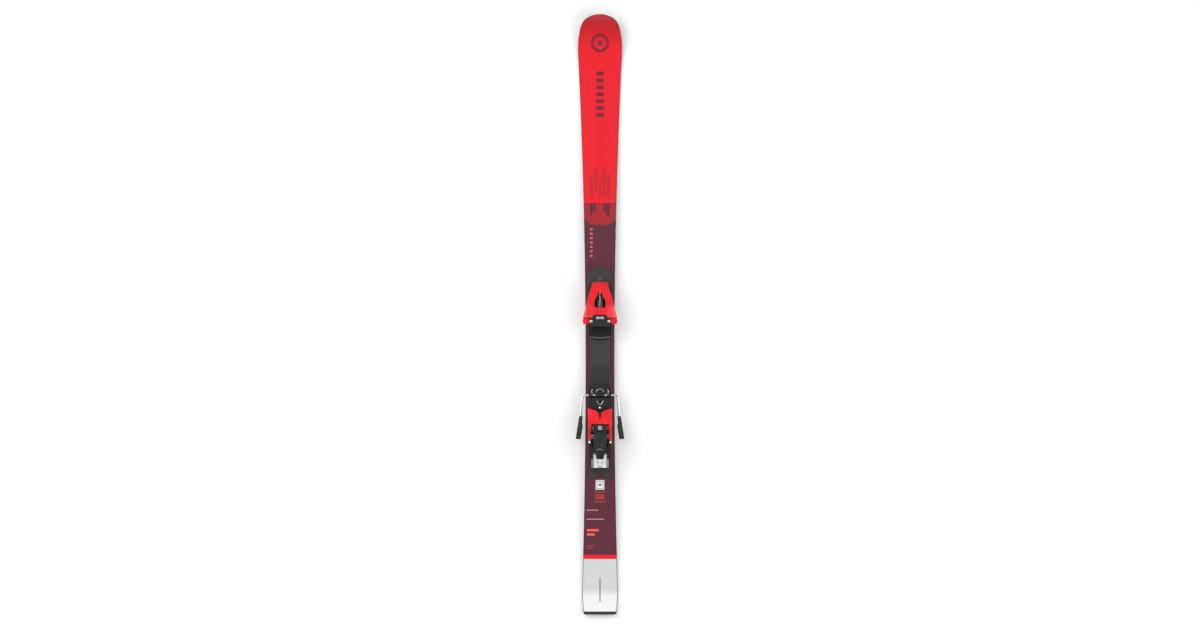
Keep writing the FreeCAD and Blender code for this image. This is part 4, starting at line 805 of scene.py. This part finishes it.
def lock_pad():
    """The black pad between the lock tab's prongs, on the lock plate."""
    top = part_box("lock_plate")[1].z
    foot = 0.02
    chamfer = 0.5
    # Each row across the pad, from its front to its rear: place along Y, half width, rise.
    rows = (
        (-318.4, 10.2, 0.1), (-318.9, 9.8, 1.0), (-322, 9.3, 1.1), (-322.3, 8.7, 0.7),
        (-325.8, 8.3, 0.7), (-326.1, 7.8, 1.1), (-330.2, 7.3, 1.0), (-330.7, 7.6, 0.1),
    )
    shape = bmesh.new()
    loops = []
    for along, half, rise in rows:
        outline = ((-half, foot), (chamfer - half, rise), (half - chamfer, rise), (half, foot))
        loops.append([shape.verts.new((x * MM, along * MM, top + z * MM)) for x, z in outline])
    for first, second in zip(loops, loops[1:]):
        for number in range(4):
            following = (number + 1) % 4
            shape.faces.new((first[number], second[number], second[following], first[following]))
    shape.faces.new(loops[0])
    shape.faces.new(list(reversed(loops[-1])))
    bmesh.ops.recalc_face_normals(shape, faces=shape.faces)
    mesh = bpy.data.meshes.new("lock_pad")
    shape.to_mesh(mesh)
    shape.free()
    soften(piece("lock_pad", mesh, "heel_carriage", "black_plastic"), 0.15)


def tab_grip():
    """The dark finger grip across the sloping rear end of the length lock's tab."""
    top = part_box("heel_lock_tab")[1].z
    slope = 0.207
    slope_from = -350.5
    grip = []
    for step in range(13):
        share = step / 6 - 1
        along = -348.9 + 0.7 * share * share
        height = top - (along - slope_from) * slope * MM + 0.1 * MM
        grip.append(Vector((6.2 * MM * share, along * MM, height)))
    piece("tab_grip", tube("tab_grip", grip, 0.8 * MM), "length_lock", "black_plastic")


def bead(name, node, path, radius, slot):
    """A raised line moulded on top of a node or its shell; path holds X and Y in millimetres."""
    steps = 8
    above = 0.2
    sunk = Vector((0, 0, radius * 0.35 * MM))
    mesh = bpy.data.objects.get(node + "_shell", NODES[node]).data
    surface = BVHTree.FromPolygons(
        [vertex.co for vertex in mesh.vertices], [polygon.vertices for polygon in mesh.polygons]
    )
    points = []
    for first, second in zip(path, path[1:]):
        for step in range(steps):
            across, along = Vector(first).lerp(Vector(second), step / steps) * MM
            hit = surface.ray_cast(Vector((across, along, above)), Vector((0, 0, -1)))[0]
            points.append(hit - sunk)
    piece(name, tube(name, points, radius * MM, 10), BODY_OF[node], slot)


def moulded_lines():
    """Raised lines on the toe bridge, and the ribs beside the heel lever's thumb dimple."""
    chevron = ((-9.5, -14.5), (-6, -17.8), (6, -17.8), (9.6, -14.4))
    bead("bridge_chevron", "toe_bridge", chevron, 0.7, "black_plastic")
    bead("bridge_lip_line", "toe_bridge", ((-17.5, -25.4), (17.6, -25.4)), 0.6, "black_plastic")
    for side, word in ((-1, "left"), (1, "right")):
        path = ((side * 6.4, -269.5), (side * 9.4, -281), (side * 7.2, -296.5))
        bead("lever_rib_" + word, "heel_lever", path, 0.6, "lever_plastic")


def rod_cap():
    """The bright end cap of the toe's pull rod, seen at the front of the window."""
    low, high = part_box("toe_rod")
    centre = Vector((0, high.y - 5.6 * MM, (low.z + high.z) / 2 + 7.6 * MM))
    flatness = 0.55
    shape = bmesh.new()
    bmesh.ops.create_uvsphere(shape, u_segments=24, v_segments=12, radius=2.5 * MM)
    for vertex in shape.verts:
        vertex.co.z *= flatness
        vertex.co += centre
    mesh = bpy.data.meshes.new("rod_cap")
    shape.to_mesh(mesh)
    shape.free()
    smooth_faces(mesh)
    piece("toe_rod_cap", mesh, "toe_pull_rod", "chrome_pins")


moulded_shells()
release_spring("toe_coil", "toe_spring", "ski", 1.0 * MM, 15)
release_spring("heel_coil", "heel_spring", "heel_head", 1.2 * MM, 9)
brake_springs()
scale_cards()
bent_wires()
lock_pad()
tab_grip()
moulded_lines()
rod_cap()


# --- the set ------------------------------------------------------------------------------------


def floor():
    """A wide sheet of pale paper just under the ski."""
    mesh = bpy.data.meshes.new("floor")
    shape = bmesh.new()
    bmesh.ops.create_grid(shape, x_segments=8, y_segments=8, size=30)
    shape.to_mesh(mesh)
    shape.free()
    thing = bpy.data.objects.new("floor", mesh)
    bpy.context.scene.collection.objects.link(thing)
    thing.location.z = -0.2 * MM
    g = Graph("floor_paper")
    tone = g.ramp(g.noise(3, 3), 0.3, 0.7)
    g.relief(g.noise(300, 3), 0.05, 0.2)
    mesh.materials.append(g.surface(g.mix(tone, srgb(246, 246, 246), srgb(249, 249, 249)), 0.7))


def area_light(name, place, aim, wide, tall, power):
    """A soft rectangular light, sizes in metres and power in watts, that no camera sees."""
    data = bpy.data.lights.new(name, "AREA")
    data.shape = "RECTANGLE"
    data.size = wide
    data.size_y = tall
    data.energy = power
    lamp = bpy.data.objects.new(name, data)
    bpy.context.scene.collection.objects.link(lamp)
    lamp.location = place
    lamp.rotation_mode = "QUATERNION"
    lamp.rotation_quaternion = (Vector(aim) - Vector(place)).to_track_quat("-Z", "Y")
    lamp.visible_camera = False


def lights():
    """A key from the left, a weaker fill and back light, low rims along the sides, a pale world."""
    middle = (0, 0, 0)
    area_light("key", (-1.6, 1.2, 2.6), middle, 1.8, 2.6, 36)
    area_light("fill", (2.2, -0.4, 2.2), middle, 1.4, 2.8, 13)
    area_light("back", (0.2, -2.6, 1.8), middle, 2.4, 1.0, 9)
    for side in (-1, 1):
        area_light("rim", (side * 1.5, 0, 0.55), (0, 0, 0.05), 0.3, 1.6, 5)
    world = bpy.data.worlds.new("studio")
    world.use_nodes = True
    background = world.node_tree.nodes["Background"]
    background.inputs["Color"].default_value = (1, 1, 1, 1)
    background.inputs["Strength"].default_value = 0.74
    bpy.context.scene.world = world
    bpy.context.scene.view_settings.view_transform = "Standard"


def camera(centre):
    """A long lens straight above the middle of the ski, with the tip up in the picture."""
    height = 7.69
    data = bpy.data.cameras.new("camera")
    data.lens = 100
    data.sensor_width = 36
    data.clip_end = 60
    lens = bpy.data.objects.new("camera", data)
    bpy.context.scene.collection.objects.link(lens)
    lens.location = (centre.x, centre.y, height)
    bpy.context.scene.camera = lens


floor()
lights()
camera((CAD_BOX[0] + CAD_BOX[1]) / 2)
